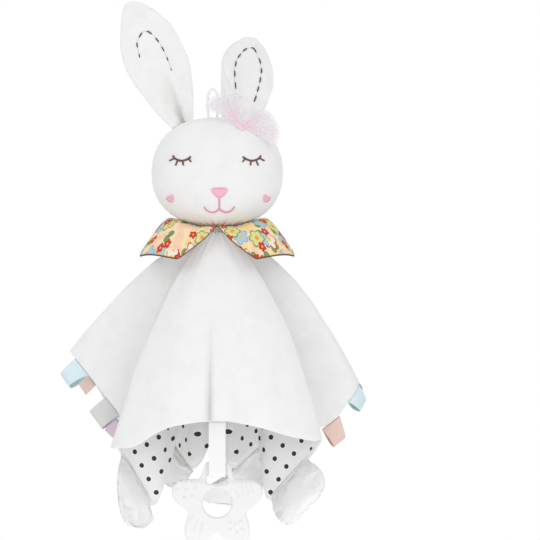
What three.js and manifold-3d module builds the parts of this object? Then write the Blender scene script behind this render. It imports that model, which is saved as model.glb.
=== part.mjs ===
// Rabbit comfort blanket: a padded head on a square of velour, hung by the loop on its crown.
// Millimetres, +Z up, -Y towards the viewer, origin at the top of the loop's centre line.
import * as THREE from "three";
import { mergeVertices } from "three/addons/utils/BufferGeometryUtils.js";
import Module from "manifold-3d";

const wasm = await Module();
wasm.setup();

// Sewing
const seamGap = 0.3; // between two sewn pieces
const velour = 1.5; // pile and backing of the white cloth
const liningCloth = 1.0;

// Head, as radii of a full, slightly squared ball
const headHalfWidth = 49.2;
const headHalfDepth = 38;
const headRise = 42.4; // centre to crown
const headFall = 40; // centre to chin
const headPower = 2.25;
const headPowerDepth = 2.1;
const headSide = 3.4; // head's axis right of the loop
const headSteps = 28;
const headRings = 16;
const seamDepth = 5; // side seam behind the middle of the head

// Loop of cord on the crown
const loopHeight = 21.4; // crown of the head to the top of the loop
const loopSpread = 7.6;
const loopCord = 1.5;
const loopSteps = 18;

// Ears
const earLength = 97;
const earWidth = 46;
const earPadding = 6.5;
const earHem = 1.3; // thickness at the seam of the two panels
const earCup = 5; // how far the edges curl forward
const earFold = 4; // depth of the folded root
const earColumns = 8;
const leftEarTilt = 19.8; // degrees from upright
const leftEarLean = 6; // degrees backwards
const leftEarTwist = 0; // degrees
const leftEarBend = -3; // sideways bend of the tip
const leftEarRootShare = 0.575; // left of the head's axis, of its half width
const rightEarTilt = -10; // degrees
const rightEarLean = 50; // degrees
const rightEarTwist = 23; // degrees
const rightEarBend = 4;
const rightEarRootShare = 0.305;
const leftEarSweep = [-30, 40]; // degrees that an ear flops forward and back
const rightEarSweep = [-15, 30];
const earSweepStep = 5; // degrees
const earHeightShares = [0, 0.06, 0.16, 0.28, 0.4, 0.52, 0.64, 0.75, 0.85, 0.93, 0.98, 1];
const earWidthShares = [0.36, 0.47, 0.62, 0.78, 0.91, 0.99, 0.98, 0.89, 0.75, 0.57, 0.35, 0];

// Tulle bow
const bowSideShare = 0.3455; // knot right of the head's axis, of its half width
const bowHeightShare = 0.8137; // knot above the head's middle, of its rise
const bowKnot = 6.4;
const bowReach = 28;
const bowSpan = 70; // degrees that one wing opens
const bowWave = 2.2;
const bowFolds = 3.5;
const bowCloth = 1.2;
const bowLeftTurn = 122; // degrees of the wing's middle, from the viewer's right
const bowRightTurn = 6; // degrees
const bowLift = 2.4; // wing in front of the head
const bowRows = 4;
const bowColumns = 16;

// Embroidery, satin stitch standing on the face
const threadHeight = 0.7;
const eyeSpacingShare = 0.5234; // of the head's width
const eyeHeightShare = 0.2406; // of its rise
const lidWidth = 13.4;
const lidSag = 3.4;
const lidStroke = 1.15;
const lashStroke = 0.85;
const noseWidth = 12.6;
const noseHeight = 8.8;
const noseDropShare = 0.37; // of the head's fall
const noseSide = 1.8;
const mouthWidth = 22;
const mouthDrop = 12.6; // nose's middle to the mouth's middle
const mouthStroke = 1.1;
const heartSize = 5.8;
const heartSpacingShare = 0.7236; // of the head's width
const heartSide = 1.1; // their middle right of the head's axis
const heartDropShare = 0.478; // of the head's fall

// Neck and collar
const neckBelowHead = 2.4; // pivot under the chin
const neckRadius = 7.4;
const collarInner = 9.6;
const collarCloth = 0.9;
const collarReach = 58.5;
const collarFront = 48; // length of the front and back corners
const collarNotch = 14;
const collarHeightSpan = 19;
const collarColumns = 48;
const collarRows = 4;

// Blanket, as it hangs in folds
const halfSide = 155;
const ringRadius = 9.9; // stitched ring round the neck
const ringDrop = 1.2; // ring under the pivot
const shoulderLeft = 17; // how far the cloth bulges under the collar
const shoulderRight = 27;
const hemSteps = 2; // columns between two hem points
const blanketRows = 5;

// Paws
const pawLength = 37;
const pawWidth = 49;
const pawGap = 0.45; // hem to the paw's seam
const pawGapLoose = 1.15;
const pawPadding = 9;
const pawColumns = 8;

// Ribbon tags
const tagWidth = 18;
const tagLength = 17.5;
const tagOpen = 5;
const tagCloth = 0.7;
const tagGap = 1; // hem to the ribbon's ends
const tagDroop = 0.25; // share of plumb in the way a tag points

// Strap and teether
const strapWidth = 12.6;
const strapCloth = 1;
const strapGap = 0.9; // hem to the strap's ends
const strapSlack = 0.6; // under the bar that it carries
const strapHalfLoop = 5; // strap's middle to the teether's middle plane
const strapDrop = 40.4; // hem to the slot's upper edge
const starArms = 5;
const starReach = 35.2; // centre to a tip
const starWaist = 22.5; // centre to the valley between two arms
const starThickness = 8;
const starRound = 1.6;
const starHole = 10.8;
const starDrop = 20.6; // slot's upper edge to the star's middle
const slotLength = 16;
const slotRound = 1.6;
const slotHeight = 6.8;
const barHeight = 9.5; // slot to the cut-off top arm
const barThickness = 5;
const nubRadius = 1.1;
const ridgeWidth = 1.5;

// Overrun of a cutting solid past what it cuts
const overrun = 200;

const degree = Math.PI / 180;
const headMiddle = new THREE.Vector3(headSide, 0, -loopHeight - headRise);
const noseBelowMiddle = headFall * noseDropShare;
const neckPivot = new THREE.Vector3(headSide, 0, headMiddle.z - headFall - neckBelowHead);

// Materials by finish
const cloth = (color, roughness = 0.95) =>
  new THREE.MeshStandardMaterial({ color, roughness, metalness: 0 });
const whiteVelour = cloth(0xf2f2f3);
const wadding = cloth(0xf7f7f5);
const dottedCotton = cloth(0xe9e9ea, 0.85);
const pinkThread = cloth(0xf29bb5, 0.6);
const brownThread = cloth(0x6b4a3c, 0.6);
const pinkTulle = cloth(0xf7cfe4, 0.7);
const whiteCord = cloth(0xf4f4f4, 0.7);
const printedCotton = cloth(0xf0c27a, 0.85);
const strapCotton = cloth(0xf5f5f5, 0.8);
const moulded = new THREE.MeshStandardMaterial({ color: 0xf1f1f1, roughness: 0.45, metalness: 0 });
const ribbons = {
  yellow: cloth(0xf0cf6e, 0.5),
  grey: cloth(0xc9c9c9, 0.5),
  mint: cloth(0xcfe6ea, 0.5),
  peach: cloth(0xeec3b3, 0.5),
  lilac: cloth(0xd6bcd8, 0.5),
};

// A geometry from points and triangles
function facets(points, triangles) {
  const geometry = new THREE.BufferGeometry();
  const flat = [];
  for (const triangle of triangles) {
    for (const index of triangle) {
      flat.push(points[index].x, points[index].y, points[index].z);
    }
  }
  geometry.setAttribute("position", new THREE.Float32BufferAttribute(flat, 3));
  return geometry;
}

// A solid of a closed geometry, welded, without flat triangles and facing outwards
function solid(geometry) {
  const bare = geometry.clone();
  for (const name of Object.keys(bare.attributes)) {
    if (name !== "position") bare.deleteAttribute(name);
  }
  const welded = mergeVertices(bare, 1e-3);
  const corners = welded.index.array;
  const kept = [];
  for (let i = 0; i < corners.length; i += 3) {
    const [a, b, c] = [corners[i], corners[i + 1], corners[i + 2]];
    if (a !== b && b !== c && a !== c) kept.push(a, b, c);
  }
  const build = (triVerts) =>
    new wasm.Manifold(
      new wasm.Mesh({
        numProp: 3,
        vertProperties: new Float32Array(welded.attributes.position.array),
        triVerts: new Uint32Array(triVerts),
      }),
    );
  const made = build(kept);
  if (made.volume() > 0) return made;
  const turned = [];
  for (let i = 0; i < kept.length; i += 3) turned.push(kept[i], kept[i + 2], kept[i + 1]);
  return build(turned);
}

// A named mesh of a manifold solid
function piece(name, made, material) {
  const out = made.getMesh();
  const geometry = new THREE.BufferGeometry();
  const places = new Float32Array(out.numVert * 3);
  for (let i = 0; i < out.numVert; i++) {
    places.set(out.vertProperties.subarray(i * out.numProp, i * out.numProp + 3), i * 3);
  }
  geometry.setAttribute("position", new THREE.BufferAttribute(places, 3));
  geometry.setIndex(new THREE.BufferAttribute(new Uint32Array(out.triVerts), 1));
  geometry.computeVertexNormals();
  const mesh = new THREE.Mesh(geometry, material);
  mesh.name = name;
  return mesh;
}

// The solid between two like grids of points, whose rows run on or close into rings
function between(front, back, ring) {
  const rows = front.length;
  const columns = front[0].length;
  const points = [...front.flat(), ...back.flat()];
  const at = (side, row, column) => side * rows * columns + row * columns + (column % columns);
  const triangles = [];
  const quad = (a, b, c, d) => triangles.push([a, b, c], [a, c, d]);
  const spans = ring ? columns : columns - 1;
  for (let row = 0; row < rows - 1; row++) {
    for (let column = 0; column < spans; column++) {
      const [down, along] = [row + 1, column + 1];
      quad(at(0, row, column), at(0, row, along), at(0, down, along), at(0, down, column));
      quad(at(1, row, column), at(1, down, column), at(1, down, along), at(1, row, along));
    }
  }
  for (let column = 0; column < spans; column++) {
    const [last, along] = [rows - 1, column + 1];
    quad(at(0, 0, along), at(0, 0, column), at(1, 0, column), at(1, 0, along));
    quad(at(0, last, column), at(0, last, along), at(1, last, along), at(1, last, column));
  }
  for (let row = 0; row < rows - 1 && !ring; row++) {
    const [last, down] = [columns - 1, row + 1];
    quad(at(0, row, 0), at(0, down, 0), at(1, down, 0), at(1, row, 0));
    quad(at(0, down, last), at(0, row, last), at(1, row, last), at(1, down, last));
  }
  return solid(facets(points, triangles));
}

// The grid moved along its own normals
function offsetGrid(grid, ring, distance) {
  const rows = grid.length;
  const columns = grid[0].length;
  const wrap = (column) =>
    ring ? (column + columns) % columns : Math.min(Math.max(column, 0), columns - 1);
  return grid.map((line, row) =>
    line.map((point, column) => {
      const across = grid[row][wrap(column + 1)].clone().sub(grid[row][wrap(column - 1)]);
      const down = grid[Math.min(row + 1, rows - 1)][column]
        .clone()
        .sub(grid[Math.max(row - 1, 0)][column]);
      return point.clone().addScaledVector(down.cross(across).normalize(), distance);
    }),
  );
}

// How far the head's skin lies from its middle, in a direction
function headRadius(direction, growth) {
  const rise = direction.z > 0 ? headRise : headFall;
  const share =
    Math.abs(direction.x / (headHalfWidth + growth)) ** headPower +
    Math.abs(direction.z / (rise + growth)) ** headPower;
  const depth = Math.abs(direction.y / (headHalfDepth + growth)) ** headPowerDepth;
  return (share ** (headPowerDepth / headPower) + depth) ** (-1 / headPowerDepth);
}

// The full ball of the head, grown or shrunk, and turned about a line through a place
function headBall(growth, place = headMiddle, line = headMiddle, turn = 0) {
  const ball = new THREE.SphereGeometry(1, headSteps, headRings);
  ball.rotateX(Math.PI / 2);
  const places = ball.attributes.position;
  for (let i = 0; i < places.count; i++) {
    const direction = new THREE.Vector3().fromBufferAttribute(places, i).normalize();
    direction.multiplyScalar(headRadius(direction, growth)).add(headMiddle);
    direction.sub(place).applyAxisAngle(line, turn * degree).add(place);
    places.setXYZ(i, direction.x, direction.y, direction.z);
  }
  return solid(ball);
}

// Height of the head's skin over a place beside its axis, and its depth in front of one
function headTop(side, depth) {
  let low = 0;
  let high = headRise;
  for (let turn = 0; turn < 40; turn++) {
    const middle = (low + high) / 2;
    const place = new THREE.Vector3(side, depth, middle);
    const inside = place.length() < headRadius(place.clone().normalize(), 0);
    if (inside) low = middle;
    else high = middle;
  }
  return headMiddle.z + low;
}
function headFront(side, height) {
  let low = 0;
  let high = headHalfDepth;
  for (let turn = 0; turn < 40; turn++) {
    const middle = (low + high) / 2;
    const place = new THREE.Vector3(side, -middle, height);
    const inside = place.length() < headRadius(place.clone().normalize(), 0);
    if (inside) low = middle;
    else high = middle;
  }
  return -low;
}

// A box between two corners
function block(low, high) {
  const box = new THREE.BoxGeometry(high[0] - low[0], high[1] - low[1], high[2] - low[2]);
  box.translate((low[0] + high[0]) / 2, (low[1] + high[1]) / 2, (low[2] + high[2]) / 2);
  return solid(box);
}

// Head: a face panel and two back panels over the wad
function makeHead() {
  const skin = headBall(0).subtract(headBall(-velour));
  const seam = seamGap / 2;
  const side = headMiddle.x;
  const front = block([-overrun, -overrun, -overrun], [overrun, seamDepth - seam, overrun]);
  const left = block([-overrun, seamDepth + seam, -overrun], [side - seam, overrun, overrun]);
  const right = block([side + seam, seamDepth + seam, -overrun], [overrun, overrun, overrun]);
  return [
    piece("head_face", skin.intersect(front), whiteVelour),
    piece("head_back_left", skin.intersect(left), whiteVelour),
    piece("head_back_right", skin.intersect(right), whiteVelour),
    piece("head_filling", headBall(-velour - seamGap), wadding),
  ];
}

// Cord loop: one bend with its two ends on the crown
function makeLoop() {
  const half = loopSpread / 2;
  const foot = (side) => headTop(side - headSide, 0) + seamGap;
  const legs = half - loopCord / 2;
  const route = new THREE.CatmullRomCurve3(
    [
      new THREE.Vector3(-legs, 0, foot(-legs - loopCord / 2)),
      new THREE.Vector3(-half, 0, -loopHeight * 0.6),
      new THREE.Vector3(-half * 0.86, 0, -loopHeight * 0.2),
      new THREE.Vector3(0, 0, 0),
      new THREE.Vector3(half * 0.86, 0, -loopHeight * 0.2),
      new THREE.Vector3(half, 0, -loopHeight * 0.6),
      new THREE.Vector3(legs, 0, foot(legs)),
    ],
    false,
    "catmullrom",
    0.5,
  );
  const section = new THREE.Shape();
  section.absarc(0, 0, loopCord / 2, 0, Math.PI * 2);
  const cord = new THREE.ExtrudeGeometry(section, {
    steps: loopSteps,
    curveSegments: 4,
    extrudePath: route,
    bevelEnabled: false,
  });
  return piece("hang_loop", solid(cord).subtract(headBall(seamGap)), whiteCord);
}

// One value between the entries of a table
function fromTable(steps, values, at) {
  let index = 0;
  while (index < steps.length - 2 && at > steps[index + 1]) index++;
  const share = (at - steps[index]) / (steps[index + 1] - steps[index]);
  return values[index] + (values[index + 1] - values[index]) * share;
}

// An ear's own axes: up its length, across it and out of its front
function earFrame(tilt, lean, twist) {
  const up = new THREE.Vector3(
    -Math.sin(tilt * degree) * Math.cos(lean * degree),
    Math.sin(lean * degree),
    Math.cos(tilt * degree) * Math.cos(lean * degree),
  );
  const across = new THREE.Vector3(0, -1, 0).cross(up).normalize().negate();
  across.applyAxisAngle(up, twist * degree);
  const out = across.clone().cross(up).normalize();
  return { up, across, out };
}

// Ear: two leaf panels that swell between their seams, cupped, with a folded root
function makeEar(name, root, frame, bend, sweep) {
  const surface = (thickness) =>
    earHeightShares.map((height, row) => {
      const line = [];
      for (let column = 0; column <= earColumns; column++) {
        const across = (column / earColumns) * 2 - 1;
        const half = (earWidth / 2) * earWidthShares[row];
        const rootFade = (1 - height) ** 2;
        const swell = Math.sqrt(Math.max(1 - across * across, 0)) * Math.min(1, height * 6 + 0.35);
        const fold = Math.cos((across * Math.PI) / 2) ** 4 * rootFade * earFold;
        const cup = across * across * earCup * Math.sin(Math.PI * Math.min(height + 0.15, 1));
        const depth = cup - fold + thickness(swell * (1 - rootFade * 0.55), height);
        line.push(
          root
            .clone()
            .addScaledVector(frame.up, height * earLength)
            .addScaledVector(frame.across, across * half + bend * height ** 3)
            .addScaledVector(frame.out, depth),
        );
      }
      return line;
    });
  const seam = seamGap / 2;
  const wall = (swell) => (earHem + (earPadding - earHem) * swell) / 2;
  const front = between(surface(wall), surface(() => seam), false);
  const back = between(surface(() => -seam), surface((swell) => -wall(swell)), false);
  let [frontPanel, backPanel] = [front, back];
  for (let turn = sweep[0]; turn <= sweep[1]; turn += earSweepStep) {
    const head = headBall(seamGap, root, frame.across, -turn);
    frontPanel = frontPanel.subtract(head);
    backPanel = backPanel.subtract(head);
  }
  return [
    piece(name + "_front", frontPanel, whiteVelour),
    piece(name + "_back", backPanel, whiteVelour),
  ];
}

// A stroke of satin stitch along a line in the face's plane
function stroke(points, width) {
  const curve = new THREE.CatmullRomCurve3(points.map(([x, z]) => new THREE.Vector3(x, z, 0)));
  const steps = (points.length - 1) * 3;
  const [left, right] = [[], []];
  for (let i = 0; i <= steps; i++) {
    const place = curve.getPoint(i / steps);
    const along = curve.getTangent(i / steps);
    const [x, y] = [(along.y * width) / 2, (along.x * width) / 2];
    left.push(new THREE.Vector2(place.x - x, place.y + y));
    right.unshift(new THREE.Vector2(place.x + x, place.y - y));
  }
  return new THREE.Shape([...left, ...right]);
}

// Shapes stitched on the face: cut out of a thin skin over the head's front
function embroider(name, shapes, side, height, material) {
  let outline = null;
  for (const shape of shapes) {
    const plate = new THREE.ExtrudeGeometry(shape, {
      depth: headHalfDepth * 2,
      bevelEnabled: false,
      curveSegments: 5,
    });
    plate.rotateX(Math.PI / 2);
    plate.translate(headMiddle.x + side, 0, headMiddle.z + height);
    outline = outline ? outline.add(solid(plate)) : solid(plate);
  }
  const skin = headBall(seamGap + threadHeight).subtract(headBall(seamGap));
  return piece(name, skin.intersect(outline), material);
}

// Closed eye: a lid line and four lashes, drawn for the viewer's right and mirrored
function makeEye(name, hand) {
  const lidShares = [
    [-0.5, 0.42],
    [-0.28, -0.2],
    [0, -0.44],
    [0.3, -0.22],
    [0.5, 0.8],
  ];
  const lashShares = [
    [-0.36, 0.02, -0.56, -0.85],
    [-0.03, -0.4, -0.06, -1.6],
    [0.3, -0.2, 0.5, -1.55],
    [0.48, 0.5, 0.8, -0.3],
  ];
  const place = ([across, up]) => [hand * across * lidWidth, up * lidSag];
  const shapes = [stroke(lidShares.map(place), hand * lidStroke)];
  for (const [x, z, tipX, tipZ] of lashShares) {
    shapes.push(stroke([place([x, z]), place([tipX, tipZ])], lashStroke));
  }
  const side = hand * headHalfWidth * eyeSpacingShare;
  return embroider(name, shapes, side, headRise * eyeHeightShare, brownThread);
}

// Nose: a soft triangle with its point down
function makeNose() {
  const [half, rise] = [noseWidth / 2, noseHeight / 2];
  const shape = new THREE.Shape();
  shape.moveTo(0, -rise);
  shape.bezierCurveTo(-half * 0.35, -rise, -half, rise * 0.1, -half, rise * 0.5);
  shape.bezierCurveTo(-half, rise * 1.05, -half * 0.3, rise * 1.05, 0, rise * 0.78);
  shape.bezierCurveTo(half * 0.3, rise * 1.05, half, rise * 1.05, half, rise * 0.5);
  shape.bezierCurveTo(half, rise * 0.1, half * 0.35, -rise, 0, -rise);
  return embroider("nose", [shape], noseSide, -noseBelowMiddle, pinkThread);
}

// Mouth: a stem under the nose and two smiling arcs
function makeMouth() {
  const mouthShares = [
    [-0.5, 0.12],
    [-0.38, -0.03],
    [-0.22, -0.08],
    [0, 0.02],
    [0.22, -0.08],
    [0.38, -0.03],
    [0.5, 0.12],
  ];
  const stemTop = mouthDrop - noseHeight / 2 - seamGap - mouthStroke;
  const arcs = stroke(
    mouthShares.map(([x, z]) => [x * mouthWidth, z * mouthWidth]),
    mouthStroke,
  );
  const stem = stroke(
    [
      [0, 0],
      [0, stemTop],
    ],
    mouthStroke,
  );
  const height = -noseBelowMiddle - mouthDrop;
  return embroider("mouth", [arcs, stem], noseSide, height, pinkThread);
}

// Cheek heart, tilted outwards
function makeHeart(name, hand) {
  const shape = new THREE.Shape();
  const unit = heartSize / 2;
  shape.moveTo(0, -unit);
  shape.bezierCurveTo(-unit * 1.3, -unit * 0.1, -unit * 1.1, unit, -unit * 0.5, unit);
  shape.bezierCurveTo(-unit * 0.2, unit, 0, unit * 0.8, 0, unit * 0.5);
  shape.bezierCurveTo(0, unit * 0.8, unit * 0.2, unit, unit * 0.5, unit);
  shape.bezierCurveTo(unit * 1.1, unit, unit * 1.3, -unit * 0.1, 0, -unit);
  const turn = -hand * 25 * degree;
  const turned = new THREE.Shape(
    shape.getPoints(4).map((p) => p.rotateAround(new THREE.Vector2(), turn)),
  );
  const side = heartSide + hand * headHalfWidth * heartSpacingShare;
  return embroider(name, [turned], side, -headFall * heartDropShare, pinkThread);
}

// Bow: two pleated fans of tulle and the knot that binds them
function makeBow() {
  const [bowSide, bowHeight] = [headHalfWidth * bowSideShare, headRise * bowHeightShare];
  const depth = headFront(bowSide, bowHeight);
  const knotAt = new THREE.Vector3(
    headMiddle.x + bowSide,
    depth - seamGap - bowKnot / 2,
    headMiddle.z + bowHeight,
  );
  const knot = new THREE.SphereGeometry(bowKnot / 2, 10, 8);
  knot.translate(knotAt.x, knotAt.y, knotAt.z);
  const wing = (name, turn) => {
    const start = bowKnot / 2 + seamGap;
    const grid = (side) => {
      const lines = [];
      for (let row = 0; row <= bowRows; row++) {
        const share = row / bowRows;
        const line = [];
        for (let column = 0; column <= bowColumns; column++) {
          const across = (column / bowColumns) * 2 - 1;
          const angle = (turn + (across * bowSpan * (0.35 + 0.65 * share)) / 2) * degree;
          const reach = start + (bowReach - start) * share;
          const wave = Math.sin(across * Math.PI * bowFolds) * bowWave * share;
          const lift = bowLift * share * (1 - share * 0.4);
          line.push(
            new THREE.Vector3(
              knotAt.x + Math.cos(angle) * reach,
              knotAt.y - lift + wave + (side * bowCloth) / 2,
              knotAt.z + Math.sin(angle) * reach,
            ),
          );
        }
        lines.push(line);
      }
      return lines;
    };
    return piece(name, between(grid(-1), grid(1), false).subtract(headBall(seamGap)), pinkTulle);
  };
  return [
    wing("bow_left_wing", bowLeftTurn),
    wing("bow_right_wing", bowRightTurn),
    piece("bow_knot", solid(knot).subtract(headBall(seamGap)), pinkTulle),
  ];
}

// Neck: the gathered stub under the chin, round about the pivot
function makeNeck() {
  const stub = new THREE.SphereGeometry(neckRadius, 16, 10);
  stub.translate(neckPivot.x, neckPivot.y, neckPivot.z);
  return piece("neck", solid(stub).subtract(headBall(seamGap)), whiteVelour);
}

// Collar: a ring of cloth with four pointed wings
function makeCollar() {
  // Reach and height of the cloth along its side, and along its front and back
  const sideReachShares = [0, 0.2, 0.4, 0.57, 0.8, 1];
  const sideHeightShares = [0, 0.2, 0.42, 0.24, -0.3, -0.97];
  const backHeightShares = [0, 0.15, 0.34, 0.6, -0.15, -0.95];
  const frontHeightShares = [0, 0, -0.35, -0.85, -1.7, -2.4];
  const outlineTurns = [-90, -52, -10, 0, 10, 52, 90, 128, 170, 180, 190, 232, 270];
  const reachOf = {
    notch: collarNotch,
    corner: collarFront,
    tip: collarReach,
    side: collarReach * 0.95,
  };
  const outline = ["notch", "corner", "tip", "side", "tip", "corner"];
  const outlineReach = outlineTurns.map((_, index) => reachOf[outline[index % outline.length]]);
  const top = neckPivot.z - ringDrop + seamGap + collarCloth;
  const grid = (drop) => {
    const lines = [];
    for (let row = 0; row <= collarRows; row++) {
      const line = [];
      for (let column = 0; column < collarColumns; column++) {
        const turn = -90 + (column / collarColumns) * 360;
        const reach = fromTable(outlineTurns, outlineReach, turn);
        const distance = collarInner + (reach - collarInner) * (row / collarRows);
        const share = (distance - collarInner) / (collarReach - collarInner);
        const sideways = Math.cos(turn * degree) ** 2;
        const backward = (1 + Math.tanh(Math.sin(turn * degree) * 8)) / 2;
        const height =
          fromTable(sideReachShares, sideHeightShares, share) * sideways * (1 - backward) +
          fromTable(sideReachShares, backHeightShares, share) * sideways * backward +
          fromTable(sideReachShares, frontHeightShares, share) * (1 - sideways);
        line.push(
          new THREE.Vector3(
            neckPivot.x + Math.cos(turn * degree) * distance,
            neckPivot.y + Math.sin(turn * degree) * distance,
            top + height * collarHeightSpan - drop,
          ),
        );
      }
      lines.push(line);
    }
    return lines;
  };
  return piece("collar", between(grid(0), grid(collarCloth), true), printedCotton);
}

// Hem of the hanging blanket, right hand round seen from above, as shares of half its side
// from the neck: across, back and up. Corners where a paw is sewn are named.
const hemShares = [
  [-0.046, -0.3, -0.914, "strapLeft"],
  [0.05, -0.3, -0.914, "strapRight"],
  [0.215, -0.335, -0.945],
  [0.35, -0.31, -0.984],
  [0.467, -0.255, -1.008],
  [0.506, -0.19, -1.008],
  [0.443, -0.12, -1.1, "frontRightOuter"],
  [0.26, -0.04, -1.3, "frontRightInner"],
  [0.225, 0, -1.15],
  [0.22, 0.04, -0.99],
  [0.31, 0.07, -0.97],
  [0.42, 0.09, -0.965, "rightLilac"],
  [0.55, 0.115, -0.93, "rightPeach"],
  [0.672, 0.13, -0.775, "rightMint"],
  [0.68, 0.22, -0.72],
  [0.6, 0.33, -0.71, "rightGrey"],
  [0.48, 0.41, -0.77],
  [0.35, 0.45, -0.88, "rightYellow"],
  [0.22, 0.42, -1.035, "backRightInner"],
  [0.08, 0.26, -1.155, "backRightOuter"],
  [0.05, 0.3, -1.07],
  [0.13, 0.42, -0.94],
  [0.16, 0.53, -0.83],
  [0, 0.58, -0.78],
  [-0.16, 0.53, -0.83],
  [-0.13, 0.42, -0.94],
  [-0.055, 0.3, -1.03],
  [-0.12, 0.25, -1.16, "backLeftOuter"],
  [-0.215, 0.42, -1.04, "backLeftInner"],
  [-0.35, 0.41, -0.97],
  [-0.48, 0.36, -0.93, "leftLilac"],
  [-0.615, 0.29, -0.715, "leftPeach"],
  [-0.71, 0.22, -0.573],
  [-0.665, 0.15, -0.65, "leftMint"],
  [-0.505, 0.1, -0.85, "leftGrey"],
  [-0.452, 0.08, -0.916],
  [-0.31, 0.06, -0.96, "leftYellow"],
  [-0.21, 0.04, -0.99],
  [-0.255, 0, -1.19],
  [-0.322, -0.05, -1.322, "frontLeftInner"],
  [-0.475, -0.13, -1.055, "frontLeftOuter"],
  [-0.505, -0.2, -1.045],
  [-0.4, -0.27, -1.035],
  [-0.3, -0.305, -0.975],
  [-0.21, -0.325, -0.938],
];

// Tags that are pressed to one side point another way than their cloth
const tagWayShares = {
  leftMint: [-0.8, 0, -0.6],
  rightGrey: [0.6, 0.4, -0.65],
  rightMint: [0.4, 0.5, -0.6],
  rightPeach: [0.35, 0.3, -0.8],
};

// Hem points where a straight seam starts: the strap's and the four paws'
const straightAfter = [
  "strapLeft",
  "frontRightOuter",
  "backRightInner",
  "backLeftOuter",
  "frontLeftInner",
];

// A hem place from its shares
const hemPlace = ([across, back, up]) =>
  neckPivot.clone().add(new THREE.Vector3(across, back, up).multiplyScalar(halfSide));

// The blanket's outer surface: rows from the stitched ring to the hem
function blanketGrid() {
  const points = hemShares.map(hemPlace);
  const count = points.length;
  const hem = [];
  for (let i = 0; i < count; i++) {
    const four = [-1, 0, 1, 2].map((step) => points[(i + step + count) % count]);
    const straight = straightAfter.includes(hemShares[i][3]);
    for (let step = 0; step < hemSteps; step++) {
      const t = step / hemSteps;
      if (straight) {
        hem.push(four[1].clone().lerp(four[2], t));
        continue;
      }
      const place = (axis) =>
        0.5 *
        (2 * four[1][axis] +
          (four[2][axis] - four[0][axis]) * t +
          (2 * four[0][axis] - 5 * four[1][axis] + 4 * four[2][axis] - four[3][axis]) * t * t +
          (3 * four[1][axis] - four[0][axis] - 3 * four[2][axis] + four[3][axis]) * t ** 3);
      hem.push(new THREE.Vector3(place("x"), place("y"), place("z")));
    }
  }
  const lines = [];
  for (let row = 0; row <= blanketRows; row++) {
    const t = row / blanketRows;
    lines.push(
      hem.map((end, column) => {
        const turn = (-90 + ((column - hemSteps / 2) / hem.length) * 360) * degree;
        const start = neckPivot
          .clone()
          .add(
            new THREE.Vector3(
              Math.cos(turn) * ringRadius,
              Math.sin(turn) * ringRadius,
              -ringDrop,
            ),
          );
        const spread = end.clone().sub(start);
        const shoulder = shoulderLeft + ((shoulderRight - shoulderLeft) * (1 + Math.cos(turn))) / 2;
        const level = new THREE.Vector3(spread.x, spread.y, 0);
        const bulge = level
          .clone()
          .normalize()
          .multiplyScalar(-spread.z)
          .add(new THREE.Vector3(0, 0, level.length()))
          .normalize()
          .multiplyScalar(shoulder);
        const control = start.clone().addScaledVector(spread, 0.3).add(bulge);
        return start
          .clone()
          .multiplyScalar((1 - t) ** 2)
          .addScaledVector(control, 2 * t * (1 - t))
          .addScaledVector(end, t * t);
      }),
    );
  }
  return lines;
}

// Blanket: velour top with its lining inside, both open at the neck and at the hem
function makeBlanket(grid) {
  const layer = (outside, inside) =>
    between(offsetGrid(grid, true, -outside), offsetGrid(grid, true, -inside), true);
  const inside = velour + seamGap;
  return [
    piece("blanket_top", layer(0, velour), whiteVelour),
    piece("blanket_lining", layer(inside, inside + liningCloth), dottedCotton),
  ];
}

// The hem's place, its run and the way out of the cloth, at a named hem point
function hemFrame(grid, name) {
  const index = hemShares.findIndex((share) => share[3] === name) * hemSteps;
  const last = grid[grid.length - 1];
  const above = grid[grid.length - 2];
  const count = last.length;
  const along = last[(index + 1) % count].clone().sub(last[(index - 1 + count) % count]);
  along.normalize();
  const down = last[index].clone().sub(above[index]).normalize();
  const out = down.clone().cross(along).normalize();
  down.copy(along.clone().cross(out)).normalize();
  const middle = (velour + seamGap + liningCloth) / 2;
  return { at: last[index].clone().addScaledVector(out, -middle), along, down, out };
}

// Paw: a mitten that swells between its seams, on the line between two hem points
function makePaw(name, grid, startName, endName, reachShares, gap) {
  const start = hemFrame(grid, startName).at;
  const end = hemFrame(grid, endName).at;
  const across = end.clone().sub(start).normalize();
  const down = new THREE.Vector3(...reachShares).normalize();
  down.addScaledVector(across, -down.dot(across) * 0.25).normalize();
  const out = across.clone().cross(down).normalize();
  const middle = start.clone().add(end).multiplyScalar(0.5);
  const heightShares = [0, 0.06, 0.25, 0.5, 0.75, 0.93, 1];
  const widthShares = [0.88, 0.89, 0.96, 1, 0.9, 0.6, 0.2];
  const surface = (hand) =>
    heightShares.map((height, row) => {
      const line = [];
      for (let column = 0; column <= pawColumns; column++) {
        const side = (column / pawColumns) * 2 - 1;
        const lengthwise = Math.sin(Math.PI * Math.min(height * 0.9 + 0.09, 1)) ** 0.6;
        const round = Math.sqrt(Math.max(1 - side ** 4, 0)) * lengthwise;
        line.push(
          middle
            .clone()
            .addScaledVector(down, gap + height * pawLength)
            .addScaledVector(across, (side * pawWidth * widthShares[row]) / 2)
            .addScaledVector(out, hand * (earHem + (pawPadding - earHem) * round) * 0.5),
        );
      }
      return line;
    });
  return piece(name, between(surface(1), surface(-1), false), whiteVelour);
}

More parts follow.
